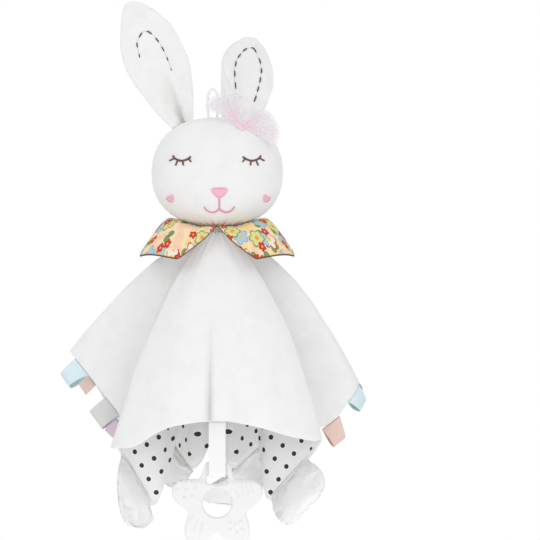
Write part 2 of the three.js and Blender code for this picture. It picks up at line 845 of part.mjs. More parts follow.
// Ribbon tag: a strip folded back on itself, its two ends at the hem
function makeTag(name, grid, place, material) {
  const frame = hemFrame(grid, place);
  const half = tagOpen / 2;
  const outer = new THREE.Shape();
  const start = tagGap;
  outer.moveTo(start, tagCloth);
  outer.bezierCurveTo(tagLength * 0.4, half, tagLength, half * 1.6, tagLength, 0);
  outer.bezierCurveTo(tagLength, -half * 1.6, tagLength * 0.4, -half, start, -tagCloth);
  outer.lineTo(start, -tagCloth * 0.2);
  const inner = tagLength - tagCloth;
  outer.bezierCurveTo(inner * 0.4, -half + tagCloth, inner, -half * 1.6 + tagCloth, inner, 0);
  const lip = tagCloth * 0.2;
  outer.bezierCurveTo(inner, half * 1.6 - tagCloth, inner * 0.4, half - tagCloth, start, lip);
  const strip = new THREE.ExtrudeGeometry(outer, {
    depth: tagWidth,
    curveSegments: 5,
    bevelEnabled: false,
  });
  strip.translate(0, 0, -tagWidth / 2);
  const away = frame.down.clone().add(new THREE.Vector3(0, 0, -tagDroop));
  if (tagWayShares[place]) away.set(...tagWayShares[place]);
  away.normalize();
  const face = away.clone().cross(frame.along).normalize();
  const turn = new THREE.Matrix4().makeBasis(away, face, frame.along);
  turn.setPosition(frame.at);
  strip.applyMatrix4(turn);
  return piece(name, solid(strip), material);
}

// Where the strap leaves the hem, and the teether's own middle
function strapFrame(grid) {
  const left = hemFrame(grid, "strapLeft").at;
  const right = hemFrame(grid, "strapRight").at;
  const hem = left.clone().add(right).multiplyScalar(0.5);
  return { hem, slotTop: hem.z - strapDrop };
}

// Strap: out of the hem, through the slot and back
function makeStrap(grid) {
  const { hem, slotTop } = strapFrame(grid);
  const top = hem.z - strapGap;
  const half = strapHalfLoop;
  const outline = (inset) => {
    const side = half + strapCloth / 2 - inset;
    const bottom = slotTop - strapSlack - strapCloth + inset;
    return { side, bottom, flat: barThickness / 2 };
  };
  const outer = outline(0);
  const inner = outline(strapCloth);
  const shape = new THREE.Shape();
  shape.moveTo(-strapCloth, top);
  shape.bezierCurveTo(-strapCloth, top - half, -outer.side, top - half, -outer.side, top - half * 3);
  shape.lineTo(-outer.side, outer.bottom + half);
  shape.quadraticCurveTo(-outer.side, outer.bottom, -outer.flat, outer.bottom);
  shape.lineTo(outer.flat, outer.bottom);
  shape.quadraticCurveTo(outer.side, outer.bottom, outer.side, outer.bottom + half);
  shape.lineTo(outer.side, top - half * 3);
  shape.bezierCurveTo(outer.side, top - half, strapCloth, top - half, strapCloth, top);
  shape.lineTo(strapCloth * 0.2, top);
  shape.bezierCurveTo(strapCloth * 0.2, top - half, inner.side, top - half, inner.side, top - half * 3);
  shape.lineTo(inner.side, inner.bottom + half - strapCloth);
  shape.quadraticCurveTo(inner.side, inner.bottom, inner.flat, inner.bottom);
  shape.lineTo(-inner.flat, inner.bottom);
  shape.quadraticCurveTo(-inner.side, inner.bottom, -inner.side, inner.bottom + half - strapCloth);
  shape.lineTo(-inner.side, top - half * 3);
  shape.bezierCurveTo(-inner.side, top - half, -strapCloth * 0.2, top - half, -strapCloth * 0.2, top);
  const strip = new THREE.ExtrudeGeometry(shape, {
    depth: strapWidth,
    curveSegments: 5,
    bevelEnabled: false,
  });
  strip.translate(0, 0, -strapWidth / 2);
  // The outline was drawn in depth and height, and its thickness runs across
  const turn = new THREE.Matrix4().makeBasis(
    new THREE.Vector3(0, 1, 0),
    new THREE.Vector3(0, 0, 1),
    new THREE.Vector3(1, 0, 0),
  );
  turn.setPosition(hem.x, hem.y, 0);
  strip.applyMatrix4(turn);
  return piece("strap", solid(strip), strapCotton);
}

// Star teether: five rounded arms, the top one cut to a bar over the slot
function makeTeether(grid) {
  const { hem, slotTop } = strapFrame(grid);
  const middle = new THREE.Vector3(hem.x, hem.y, slotTop - starDrop);
  const points = [];
  const steps = 60;
  for (let step = 0; step < steps; step++) {
    const turn = (step / steps) * 360;
    const wave = (1 + Math.cos(starArms * turn * degree)) / 2;
    const reach = starWaist + (starReach - starWaist) * wave ** 0.85;
    points.push(
      new THREE.Vector2(-Math.sin(turn * degree) * reach, Math.cos(turn * degree) * reach),
    );
  }
  const shape = new THREE.Shape(points);
  const hole = new THREE.Path();
  hole.absarc(0, 0, starHole, 0, Math.PI * 2, true);
  shape.holes.push(hole);
  const plate = new THREE.ExtrudeGeometry(shape, {
    depth: starThickness - starRound * 2,
    bevelEnabled: true,
    bevelSegments: 2,
    bevelSize: starRound,
    bevelThickness: starRound,
    bevelOffset: -starRound,
    curveSegments: 12,
  });
  plate.translate(0, 0, -starThickness / 2 + starRound);
  let star = solid(plate);
  const slot = new THREE.Shape();
  const half = slotLength / 2 - slotRound;
  const [slotLow, slotHigh] = [starDrop - slotHeight + slotRound, starDrop - slotRound];
  slot.absarc(half, slotLow, slotRound, -Math.PI / 2, 0, false);
  slot.absarc(half, slotHigh, slotRound, 0, Math.PI / 2, false);
  slot.absarc(-half, slotHigh, slotRound, Math.PI / 2, Math.PI, false);
  slot.absarc(-half, slotLow, slotRound, Math.PI, (Math.PI * 3) / 2, false);
  const cut = new THREE.ExtrudeGeometry(slot, {
    depth: starThickness * 2,
    bevelEnabled: false,
    curveSegments: 4,
  });
  cut.translate(0, 0, -starThickness);
  star = star.subtract(solid(cut));
  // Over the slot the arm ends flat and is thinner, so that the strap can turn round it
  const barTop = starDrop + barHeight;
  const above = block([-starReach, barTop, -starThickness], [starReach, overrun, starThickness]);
  star = star.subtract(above);
  for (const side of [-1, 1]) {
    const [low, high] = [barThickness / 2, starThickness].map((depth) => side * depth);
    star = star.subtract(
      block(
        [-starReach, starDrop - slotHeight / 2, Math.min(low, high)],
        [starReach, overrun, Math.max(low, high)],
      ),
    );
  }
  // Nubs on one upper arm and slanted ridges on the other, on both faces
  const arm = starReach * 0.62;
  const nubShares = [
    [-0.22, 0.5],
    [0.12, 0.62],
    [-0.5, 0.1],
    [-0.12, 0.12],
    [0.3, 0.16],
    [-0.32, -0.32],
    [0.1, -0.3],
  ];
  const armTurn = 360 / starArms;
  const armMiddle = (turn) => [Math.sin(turn * degree) * arm, Math.cos(turn * degree) * arm];
  for (const face of [-1, 1]) {
    for (const [x, z] of nubShares) {
      const nub = new THREE.SphereGeometry(nubRadius, 6, 4);
      const [armX, armZ] = armMiddle(-armTurn);
      nub.translate(armX + x * starHole, armZ + z * starHole, (face * starThickness) / 2);
      star = star.add(solid(nub));
    }
    for (const share of [-0.45, -0.15, 0.15, 0.45]) {
      const ridge = new THREE.BoxGeometry(ridgeWidth / 2, starHole * 0.8, ridgeWidth);
      ridge.rotateZ(20 * degree);
      const [armX, armZ] = armMiddle(armTurn);
      ridge.translate(armX + share * starHole, armZ, (face * starThickness) / 2);
      star = star.add(solid(ridge));
    }
  }
  const mesh = piece("teether_star", star, moulded);
  const turn = new THREE.Matrix4().makeBasis(
    new THREE.Vector3(1, 0, 0),
    new THREE.Vector3(0, 0, 1),
    new THREE.Vector3(0, -1, 0),
  );
  turn.setPosition(middle);
  mesh.geometry.applyMatrix4(turn);
  mesh.geometry.computeVertexNormals();
  return mesh;
}

// The rabbit, put together
const rabbit = new THREE.Group();
const grid = blanketGrid();
rabbit.add(...makeHead(), makeLoop());
const earRoot = (side, frame) =>
  new THREE.Vector3(headMiddle.x + side, 0, headTop(side, 0)).addScaledVector(frame.up, seamGap * 2);
const leftFrame = earFrame(leftEarTilt, leftEarLean, leftEarTwist);
const rightFrame = earFrame(rightEarTilt, rightEarLean, rightEarTwist);
const leftRoot = earRoot(-headHalfWidth * leftEarRootShare, leftFrame);
const rightRoot = earRoot(headHalfWidth * rightEarRootShare, rightFrame);
rabbit.add(
  ...makeEar("ear_left", leftRoot, leftFrame, leftEarBend, leftEarSweep),
  ...makeEar("ear_right", rightRoot, rightFrame, rightEarBend, rightEarSweep),
);
rabbit.add(...makeBow());
rabbit.add(makeEye("eye_left", -1), makeEye("eye_right", 1), makeNose(), makeMouth());
rabbit.add(makeHeart("cheek_heart_left", -1), makeHeart("cheek_heart_right", 1));
rabbit.add(makeNeck(), makeCollar(), ...makeBlanket(grid));
rabbit.add(
  makePaw("paw_front_right", grid, "frontRightOuter", "frontRightInner", [0.38, -0.74, -0.52], pawGapLoose),
  makePaw("paw_front_left", grid, "frontLeftInner", "frontLeftOuter", [0, -0.62, -0.78], pawGapLoose),
  makePaw("paw_back_right", grid, "backRightInner", "backRightOuter", [-0.5, -0.1, -0.85], pawGapLoose),
  makePaw("paw_back_left", grid, "backLeftOuter", "backLeftInner", [-0.5, 0.75, -0.25], pawGap),
);
for (const side of ["left", "right"]) {
  for (const colour of ["yellow", "grey", "mint", "peach", "lilac"]) {
    const place = side + colour[0].toUpperCase() + colour.slice(1);
    rabbit.add(makeTag("tag_" + side + "_" + colour, grid, place, ribbons[colour]));
  }
}
rabbit.add(makeStrap(grid), makeTeether(grid));

export default rabbit;
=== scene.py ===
import math

import bmesh
import bpy
import numpy as np
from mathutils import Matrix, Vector
from mathutils.bvhtree import BVHTree


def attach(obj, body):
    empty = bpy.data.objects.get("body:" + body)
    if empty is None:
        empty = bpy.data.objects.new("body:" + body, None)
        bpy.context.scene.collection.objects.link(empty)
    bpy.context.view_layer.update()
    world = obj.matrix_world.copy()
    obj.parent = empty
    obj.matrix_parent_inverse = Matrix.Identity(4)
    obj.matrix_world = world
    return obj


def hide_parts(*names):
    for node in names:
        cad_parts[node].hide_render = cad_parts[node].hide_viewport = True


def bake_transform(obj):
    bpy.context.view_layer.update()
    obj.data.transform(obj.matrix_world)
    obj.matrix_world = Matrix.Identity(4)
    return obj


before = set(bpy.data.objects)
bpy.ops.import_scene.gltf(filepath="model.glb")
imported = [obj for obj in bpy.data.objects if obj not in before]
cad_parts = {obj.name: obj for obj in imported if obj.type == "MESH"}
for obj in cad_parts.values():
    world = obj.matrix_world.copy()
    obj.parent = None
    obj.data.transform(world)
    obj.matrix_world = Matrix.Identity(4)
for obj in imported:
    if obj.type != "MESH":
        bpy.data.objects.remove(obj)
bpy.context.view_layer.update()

scene = bpy.context.scene

# Head: white velour over a wad, cut as one face panel and two back panels. The panels are
# sewn right sides together and turned, so each seam draws in and puckers a little, and the
# chin is drawn together where the neck leaves it. Sizes are in millimetres here and below.
head_middle = np.array((3.4, 0.0, -63.8))
head_wide, head_deep, head_rise, head_fall = 49.2, 38.0, 42.4, 40.0
head_square, head_depth_square = 2.25, 2.1
side_seam_back = 5.0
seam_draw, seam_breadth = 1.1, 1.5
pucker_depth, pucker_pitch, pucker_reach = 0.32, 6.4, 7.0
chin_draw, chin_folds, lump_depth, lump_length = 0.7, 22, 0.25, 34.0
velour_white, velour_shade = (0.87, 0.87, 0.872, 1), (0.825, 0.825, 0.83, 1)


def head_reach(ways, grown=0.0):
    """How far the skin lies from the head's middle, in unit directions."""
    rise = np.where(ways[..., 2] > 0, head_rise, head_fall) + grown
    flat = np.abs(ways[..., 0] / (head_wide + grown)) ** head_square
    flat = flat + np.abs(ways[..., 2] / rise) ** head_square
    deep = np.abs(ways[..., 1] / (head_deep + grown)) ** head_depth_square
    return (flat ** (head_depth_square / head_square) + deep) ** (-1 / head_depth_square)


def note(piece, name, values):
    """Keeps one number for each point of a piece, for its finish to read."""
    attribute = piece.data.attributes.new(name, "FLOAT", "POINT")
    attribute.data.foreach_set("value", np.asarray(values, np.float32))


def unevenness(places, length, seed):
    """A soft random height from -1 to 1, about one wave to each length."""
    draw = np.random.default_rng(seed)
    ways = draw.normal(size=(9, 3))
    ways /= np.linalg.norm(ways, axis=1)[:, None]
    ways *= 2 * math.pi / length * draw.uniform(0.7, 1.3, 9)[:, None]
    return np.sin(places @ ways.T + draw.uniform(0, 2 * math.pi, 9)).mean(axis=-1) * 2


def made_of(name, points, faces=(), edges=()):
    """A smooth mesh object from points in millimetres, with its place in its mesh."""
    mesh = bpy.data.meshes.new(name)
    places = np.asarray(points, float).reshape(-1, 3) * 0.001
    mesh.from_pydata(places.tolist(), edges, faces)
    mesh.validate()
    mesh.polygons.foreach_set("use_smooth", [True] * len(mesh.polygons))
    piece = bpy.data.objects.new(name, mesh)
    scene.collection.objects.link(piece)
    return piece


def weld(piece, apart=0.02):
    """Merges points that lie together and turns the faces outwards."""
    work = bmesh.new()
    work.from_mesh(piece.data)
    bmesh.ops.remove_doubles(work, verts=work.verts, dist=apart * 0.001)
    bmesh.ops.dissolve_degenerate(work, edges=work.edges, dist=apart * 0.0002)
    bmesh.ops.recalc_face_normals(work, faces=work.faces)
    work.to_mesh(piece.data)
    work.free()


def places_of(piece):
    """A piece's points in millimetres."""
    flat = np.empty(len(piece.data.vertices) * 3)
    piece.data.vertices.foreach_get("co", flat)
    return flat.reshape(-1, 3) * 1000


def move_to(piece, points):
    """Moves a piece's points to new places in millimetres."""
    piece.data.vertices.foreach_set("co", (points * 0.001).ravel())
    piece.data.update()


def set_up(tree, made, **settings):
    """Sets a node. in_ names an input, which takes a value or another node's output."""
    for key, value in settings.items():
        if not key.startswith("in_"):
            setattr(made, key, value)
            continue
        name = key[3:].replace("_", " ")
        slot = made.inputs[int(name) if name.isdigit() else name]
        if isinstance(value, bpy.types.NodeSocket):
            tree.links.new(value, slot)
        else:
            slot.default_value = value
    return made


def node(tree, kind, **settings):
    return set_up(tree, tree.nodes.new(kind), **settings)


def new_finish(name, roughness, **settings):
    """A material with its principled shader: the material, its tree and that shader."""
    material = bpy.data.materials.new(name)
    material.use_nodes = True
    tree = material.node_tree
    shader = tree.nodes["Principled BSDF"]
    set_up(tree, shader, in_Roughness=roughness, in_Specular_IOR_Level=0.25, **settings)
    return material, tree, shader


def noise(tree, place, **settings):
    return node(tree, "ShaderNodeTexNoise", in_Vector=place, **settings).outputs["Fac"]


def ranged(tree, value, low, high, to_low=0.0, to_high=1.0):
    """A value carried from one range to another."""
    carried = node(tree, "ShaderNodeMapRange", in_Value=value, in_From_Min=low, in_From_Max=high)
    return set_up(tree, carried, in_To_Min=to_low, in_To_Max=to_high).outputs["Result"]


def blended(tree, share, low, high):
    """A colour between two others."""
    mix = node(tree, "ShaderNodeMix", data_type="RGBA", in_Factor=share, in_A=low, in_B=high)
    return mix.outputs["Result"]


def coloured(tree, shader, colour):
    tree.links.new(colour, shader.inputs["Base Color"])
    return colour


def raised(tree, shader, height, strength, distance, **settings):
    """Shows a height as relief, over any relief that the finish has already."""
    relief = node(tree, "ShaderNodeBump", in_Strength=strength, in_Distance=distance, **settings)
    tree.links.new(height, relief.inputs["Height"])
    for below in shader.inputs["Normal"].links:
        tree.links.new(below.from_socket, relief.inputs["Normal"])
    tree.links.new(relief.outputs["Normal"], shader.inputs["Normal"])


def velour(name, light, dark, fold=None):
    """Short brushed pile: a faint mottle where it lies over, a fine nap, and a colour of painted shade where
    the fold attribute marks a deep fold.
    """
    material, tree, shader = new_finish(name, 0.95, in_Sheen_Weight=0.4, in_Sheen_Roughness=0.6)
    place = node(tree, "ShaderNodeTexCoord").outputs["Object"]
    lie = noise(tree, place, in_Scale=70.0, in_Detail=4.0, in_Roughness=0.65)
    nap = noise(tree, place, in_Scale=1500.0, in_Detail=2.0, in_Roughness=0.7)
    pile = blended(tree, ranged(tree, lie, 0.25, 0.6), dark, light)
    # fold is the colour of painted shade, mixed in as far as the fold attribute reaches
    if fold:
        deep = node(tree, "ShaderNodeAttribute", attribute_name="fold").outputs["Fac"]
        pile = blended(tree, deep, pile, fold)
    coloured(tree, shader, pile)
    raised(tree, shader, lie, 0.12, 0.001)
    raised(tree, shader, nap, 0.3, 0.0003)
    return material


def puckered(distance, along, points, seed):
    """The drop of a seam and the little folds that run out square to it."""
    draw = -seam_draw * np.exp(-((distance / seam_breadth) ** 2))
    phase = along * 2 * math.pi / pucker_pitch + unevenness(points, 22.0, seed) * 2.2
    size = 0.6 + 0.4 * unevenness(points, 30.0, seed + 1)
    return draw + pucker_depth * size * np.sin(phase) * np.exp(-((distance / pucker_reach) ** 2))


ball = bmesh.new()
bmesh.ops.create_icosphere(ball, subdivisions=7, radius=1)
ways = np.array([corner.co for corner in ball.verts])
ways /= np.linalg.norm(ways, axis=1)[:, None]
faces = [[corner.index for corner in face.verts] for face in ball.faces]
ball.free()
skin = ways * head_reach(ways)[:, None]
round_side = np.arctan2(skin[:, 0], skin[:, 2]) * head_wide
swell = puckered(skin[:, 1] - side_seam_back, round_side, skin, 3)
behind = skin[:, 1] > side_seam_back
down_back = np.arctan2(skin[:, 2], skin[:, 1]) * head_deep
back_seam = puckered(skin[:, 0], down_back, skin, 5)
swell += np.where(behind, back_seam * np.clip((skin[:, 1] - side_seam_back) / 4, 0, 1), 0)
chin = np.clip((-skin[:, 2] / head_fall - 0.8) / 0.2, 0, 1) ** 1.5
swell += chin * chin_draw * np.sin(np.arctan2(skin[:, 1], skin[:, 0]) * chin_folds)
swell += unevenness(skin, lump_length, 8) * lump_depth
head = made_of("head", head_middle + skin + ways * swell[:, None], faces)
white_velour = velour("white_velour", velour_white, velour_shade)
head.data.materials.append(white_velour)
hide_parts("head_face", "head_back_left", "head_back_right", "head_filling")
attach(head, "head")

# Hang loop: three strands of white cotton laid into a cord, bent once, with both its ends
# sewn into the crown of the head. It carries the whole toy.
cord_half, loop_half, loop_high = 0.95, 3.8, 21.2
strand_half, strand_turns, strand_steps = 0.52, 11, 150
cord_white = (0.93, 0.93, 0.93, 1)


def node_group(name, **inputs):
    """A group of geometry nodes and what it is given through its named inputs."""
    group = bpy.data.node_groups.new(name, "GeometryNodeTree")
    for label, kind in inputs.items():
        socket = "NodeSocket" + kind
        group.interface.new_socket(label.replace("_", " "), in_out="INPUT", socket_type=socket)
    group.interface.new_socket("Made", in_out="OUTPUT", socket_type="NodeSocketGeometry")
    return group, group.nodes.new("NodeGroupInput").outputs


def made_real(group, shape, finish):
    """Ends a group: its instances made real and given their finish."""
    real = node(group, "GeometryNodeRealizeInstances", in_Geometry=shape.outputs[0])
    coat = node(group, "GeometryNodeSetMaterial", in_Geometry=real.outputs[0], in_Material=finish)
    group.links.new(coat.outputs[0], group.nodes.new("NodeGroupOutput").inputs["Made"])


laid_threads, given = node_group(
    "laid_threads", Paths="Geometry", Thread_radius="Float", Facets="Int", Finish="Material"
)
path = node(laid_threads, "GeometryNodeMeshToCurve", in_Mesh=given["Paths"])
ring = node(laid_threads, "GeometryNodeCurvePrimitiveCircle", in_Resolution=given["Facets"])
set_up(laid_threads, ring, in_Radius=given["Thread radius"])
tube = node(laid_threads, "GeometryNodeCurveToMesh", in_Curve=path.outputs[0], in_Fill_Caps=True)
set_up(laid_threads, tube, in_Profile_Curve=ring.outputs["Curve"])
soft = node(laid_threads, "GeometryNodeSetShadeSmooth", in_Geometry=tube.outputs[0])
made_real(laid_threads, soft, given["Finish"])


def as_mesh(piece):
    """Turns a piece with its modifiers into one plain mesh."""
    bpy.context.view_layer.update()
    ready = piece.evaluated_get(bpy.context.evaluated_depsgraph_get())
    mesh = bpy.data.meshes.new_from_object(ready)
    piece.modifiers.clear()
    piece.data = mesh
    mesh.name = piece.name
    return piece


def grown(piece, group, **values):
    """Runs a group on a piece and makes what comes out its plain mesh."""
    run = piece.modifiers.new(group.name, "NODES")
    run.node_group = group
    named = {s.name: s.identifier for s in group.interface.items_tree if s.in_out == "INPUT"}
    for label, value in values.items():
        run[named[label.replace("_", " ")]] = value
    return as_mesh(piece)


def threads(name, paths, radius, finish, facets=6):
    """Tubes of thread along lists of points, as one piece."""
    points, edges = [], []
    for line in paths:
        first = len(points)
        points.extend(line)
        edges.extend((first + i, first + i + 1) for i in range(len(line) - 1))
    piece = made_of(name, points, edges=edges)
    return grown(piece, laid_threads, Thread_radius=radius * 0.001, Facets=facets, Finish=finish)


def spun(name, colour, dark, roughness=0.7, sheen=0.3):
    """Spun thread: its fibres show as fine streaks and specks."""
    material, tree, shader = new_finish(name, roughness, in_Sheen_Weight=sheen)
    place = node(tree, "ShaderNodeTexCoord").outputs["Object"]
    fibre = noise(tree, place, in_Scale=2600.0, in_Detail=3.0)
    coloured(tree, shader, blended(tree, fibre, dark, colour))
    raised(tree, shader, fibre, 0.3, 0.0001)
    return material


def between(a, b, c, d, t):
    """A Catmull-Rom place from b to c."""
    bend = (2 * a - 5 * b + 4 * c - d) * t**2
    return 0.5 * (2 * b + (c - a) * t + bend + (3 * b - a - 3 * c + d) * t**3)


def smooth_line(points, steps):
    """Places on a Catmull-Rom line through the points, its ends included."""
    points = np.asarray(points, float)
    padded = np.vstack([2 * points[0] - points[1], points, 2 * points[-1] - points[-2]])
    spans = len(points) - 1
    at = np.linspace(0, spans, steps)
    first = np.minimum(at.astype(int), spans - 1)
    return between(*(padded[first + k] for k in range(4)), (at - first)[:, None])


def ways_along(line):
    run = np.gradient(line, axis=0)
    return run / np.linalg.norm(run, axis=1)[:, None]


def lengths_along(line):
    steps = np.linalg.norm(np.diff(line, axis=0), axis=1)
    return np.concatenate([[0], np.cumsum(steps)])


def placed_along(at, length, line):
    """Places on a line at lengths from its start."""
    return np.stack([np.interp(at, length, line[:, k]) for k in range(line.shape[1])], axis=-1)


def head_top(across):
    """Height of the crown over a place beside the head's middle."""
    share = 1 - abs((across - head_middle[0]) / head_wide) ** head_square
    return head_middle[2] + head_rise * share ** (1 / head_square)


middle_line = smooth_line(
    [
        (-loop_half * 0.8, 0, head_top(-loop_half) - 1.5),
        (-loop_half, 0, -loop_high * 0.6),
        (-loop_half * 0.86, 0, -loop_high * 0.2),
        (0, 0, 0),
        (loop_half * 0.86, 0, -loop_high * 0.2),
        (loop_half, 0, -loop_high * 0.6),
        (loop_half * 0.8, 0, head_top(loop_half) - 1.5),
    ],
    strand_steps,
)
beside = np.cross(ways_along(middle_line), (0, 1, 0))
strands = []
for strand in range(3):
    turn = np.linspace(0, 2 * math.pi * strand_turns, strand_steps) + strand * 2 * math.pi / 3
    off = np.cos(turn)[:, None] * beside + np.sin(turn)[:, None] * (0, 1, 0)
    strands.append(middle_line + (cord_half - strand_half) * off)
white_cord = spun("white_cord", cord_white, (0.84, 0.84, 0.85, 1))
loop = threads("hang_loop", strands, strand_half, white_cord, 8)
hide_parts("hang_loop")
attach(loop, "head")

# Ears: each a leaf of two velour panels, sewn round, turned and lightly stuffed, folded
# once at its root and sewn on the crown. A row of brown running stitches draws an inner
# leaf through its front panel.
ear_long, ear_wide, ear_thick, ear_cup, ear_fold = 97.0, 46.0, 6.5, 5.0, 4.0
ear_heights = [0, 0.06, 0.16, 0.28, 0.4, 0.52, 0.64, 0.75, 0.85, 0.93, 0.98, 1]
ear_widths = {
    "left": [0.38, 0.5, 0.66, 0.82, 0.95, 1.0, 0.97, 0.86, 0.67, 0.45, 0.25, 0],
    "right": [0.6, 0.69, 0.79, 0.87, 0.93, 0.96, 0.91, 0.8, 0.65, 0.48, 0.34, 0],
}
ear_shift_heights = [0, 0.3, 0.6, 0.8, 0.93, 1]
ear_shifts = {"left": [2.0, 1.2, 0.0, 0.6, 0.2, -1.2], "right": [0, -0.8, -1.2, -0.8, -1.2, -2.4]}
ear_tips = {"left": 2.9, "right": 0.8}
ear_valley, ear_valley_end, valley_side, valley_drift = 7.0, 0.5, 0.2, 0.5
valley_steep, valley_slack = 0.12, 0.27
ear_wrinkle, wrinkle_waves, wrinkle_high, wrinkle_reach = 0.35, 10, 0.2, 0.14
ear_pressure, ear_growth, ear_swell, ear_seat, head_gap = 2.0, 0.012, 0.9, 7.0, 0.3
ear_rows, ear_columns, ear_sewn = 100, 56, 26.0
stitch_brown = (0.115, 0.062, 0.038, 1)


def through(heights, values, at):
    """A smooth value from a table."""
    slopes = np.gradient(np.asarray(values, float), np.asarray(heights, float))
    i = np.clip(np.searchsorted(heights, at, side="right") - 1, 0, len(heights) - 2)
    low, high = np.take(heights, i), np.take(heights, i + 1)
    span = high - low
    t = (at - low) / span
    a, b = np.take(values, i), np.take(values, i + 1)
    return (
        (2 * t**3 - 3 * t**2 + 1) * a
        + (t**3 - 2 * t**2 + t) * span * np.take(slopes, i)
        + (3 * t**2 - 2 * t**3) * b
        + (t**3 - t**2) * span * np.take(slopes, i + 1)
    )


def turned_about(vector, line, angle):
    c, s = math.cos(angle), math.sin(angle)
    return vector * c + np.cross(line, vector) * s + line * (line @ vector) * (1 - c)


def ear_axes(tilt, lean, twist):
    """An ear's own axes: up its length, across it and out of its front."""
    t, l = math.radians(tilt), math.radians(lean)
    up = np.array((-math.sin(t) * math.cos(l), math.sin(l), math.cos(t) * math.cos(l)))
    across = -np.cross((0, -1, 0), up)
    across = turned_about(across / np.linalg.norm(across), up, math.radians(twist))
    out = np.cross(across, up)
    return up, across, out / np.linalg.norm(out)


def ear_valley_share(across, height):
    """How deep the fold at the root is: steep on the lobe's side, slack on the other."""
    beside = across - valley_side + valley_drift * height
    valley = np.exp(-((beside / np.where(beside > 0, valley_steep, valley_slack)) ** 2))
    return valley * np.clip(1 - height / ear_valley_end, 0, 1)


def ear_place(ear, across, height, side):
    """A place on an ear's front (side 1), back (-1) or middle layer (0)."""
    root, (up, over, out), bend, hand = ear
    width = np.sqrt(np.clip(through(ear_heights, np.square(ear_widths[hand]), height), 0, None))
    fade = (1 - height) ** 2
    swell = np.sqrt(np.clip(1 - across**2, 0, 1)) * np.clip(height * 6 + 0.2, 0, 1)
    fold = np.cos(across * math.pi / 2) ** 4 * fade * ear_fold
    cup = across**2 * ear_cup * np.sin(math.pi * (height + 0.15) / 1.15)
    valley = ear_valley_share(across, height)
    fan = np.sin(across * wrinkle_waves + 1.5 * np.sin(height * 15))
    fan = fan * np.exp(-(((height - wrinkle_high) / wrinkle_reach) ** 2))
    depth = cup - fold - valley * ear_valley + fan * ear_wrinkle * (1 - across**2)
    depth = depth + side * ear_thick / 2 * swell * (1 - fade * 0.55)
    shift = through(ear_shift_heights, ear_shifts[hand], height)
    sideways = across * ear_wide / 2 * width + bend * height**3 + shift
    return (
        root
        + up * (height * ear_long + ear_tips[hand] * height**6)[..., None]
        + over * sideways[..., None]
        + out * depth[..., None]
    )


def sheet_faces(rows, columns, first=0, turned=False, ring=False):
    faces = []
    for row in range(rows - 1):
        for column in range(columns - (0 if ring else 1)):
            a = first + row * columns + column
            b = first + row * columns + (column + 1) % columns
            quad = (a, b, b + columns, a + columns)
            faces.append(quad[::-1] if turned else quad)
    return faces


def cover(name, front, back, middle, across, height, fold=None):
    """Two panels that meet at their edge, as one skin, and which of its points lie in the seam."""
    edge = (np.abs(across) > 0.9999) | (height < 1e-6) | (height > 1 - 1e-6)
    front[edge], back[edge] = middle[edge], middle[edge]
    faces = sheet_faces(*across.shape) + sheet_faces(*across.shape, across.size, True)
    piece = made_of(name, np.concatenate([front.reshape(-1, 3), back.reshape(-1, 3)]), faces)
    # fold is how much painted shade each point of the front panel takes; the back panel takes none
    if fold is not None:
        note(piece, "fold", np.concatenate([fold.ravel(), fold.ravel() * 0]))
    weld(piece)
    seam = middle[edge]
    nearest = [np.min(np.sum((seam - point) ** 2, axis=1)) for point in places_of(piece)]
    return piece, np.array(nearest) < 1e-3


def stuff(piece, sewn, pressure, growth, most):
    """Lets the filling push a sewn cover out, held at its seam, by at most so many mm."""
    start = places_of(piece)
    held = piece.vertex_groups.new(name="seam")
    held.add([int(i) for i in np.nonzero(sewn)[0]], 1.0, "REPLACE")
    cloth = piece.modifiers.new("cover", "CLOTH")
    how = cloth.settings
    how.quality, how.mass = 5, 0.001
    how.tension_stiffness = how.compression_stiffness = 12
    how.shear_stiffness, how.bending_stiffness = 6, 0.4
    how.vertex_group_mass, how.shrink_min = "seam", -growth
    how.use_pressure, how.uniform_pressure_force = True, pressure
    how.effector_weights.gravity = 0
    cloth.collision_settings.use_collision = False
    cloth.point_cache.frame_start, cloth.point_cache.frame_end = 1, 20
    for moment in range(1, 21):
        scene.frame_set(moment)
    ready = piece.evaluated_get(bpy.context.evaluated_depsgraph_get())
    flat = np.empty(len(ready.data.vertices) * 3)
    ready.data.vertices.foreach_get("co", flat)
    moved = flat.reshape(-1, 3) * 1000 - start
    piece.modifiers.remove(cloth)
    piece.vertex_groups.clear()
    scene.frame_set(1)
    far = np.linalg.norm(moved, axis=1)[:, None]
    move_to(piece, start + moved * np.minimum(1, most / np.maximum(far, 1e-9)))


def onto(skin, points, way):
    """Moves places on to a skin (its points and faces) against a way out of it."""
    surface = BVHTree.FromPolygons(skin[0].tolist(), skin[1])
    found = []
    for point in points:
        hit = surface.ray_cast(Vector(point + way * 30), Vector(-way))[0]
        found.append(point if hit is None else np.array(hit))
    return np.array(found)


def clear_of_head(points, gap):
    """Moves points that are in the head out to its skin."""
    away = points - head_middle
    far = np.linalg.norm(away, axis=1)
    least = head_reach(away / far[:, None], gap)
    return head_middle + away * (np.maximum(far, least) / far)[:, None]


ears = {
    "left": (np.array((-25.0921, 0.0627, -26.7777)), ear_axes(19.8, 6, 0), -3.0, "left"),
    "right": (np.array((18.473, 0.4596, -22.3489)), ear_axes(-10, 50, 23), 4.0, "right"),
}
inner_leaf = {
    "left": [(-0.46, 0.58), (-0.42, 0.64), (-0.4, 0.7), (-0.22, 0.745), (-0.04, 0.765), (0.15, 0.746),
             (0.3, 0.674), (0.36, 0.594), (0.37, 0.519), (0.36, 0.424), (0.33, 0.34)],
    "right": [(-0.28, 0.305), (-0.42, 0.427), (-0.48, 0.536), (-0.49, 0.656), (-0.39, 0.797), (-0.14, 0.853),
              (0.07, 0.84), (0.35, 0.77), (0.49, 0.675), (0.52, 0.52), (0.53, 0.379), (0.54, 0.236)],
}
stitch_half, link_half, quilted = 0.55, 0.14, 0.45
stitch_rise = (-0.9, -0.05, 0.3, 0.42, 0.46, 0.42, 0.3, -0.05, -0.9)
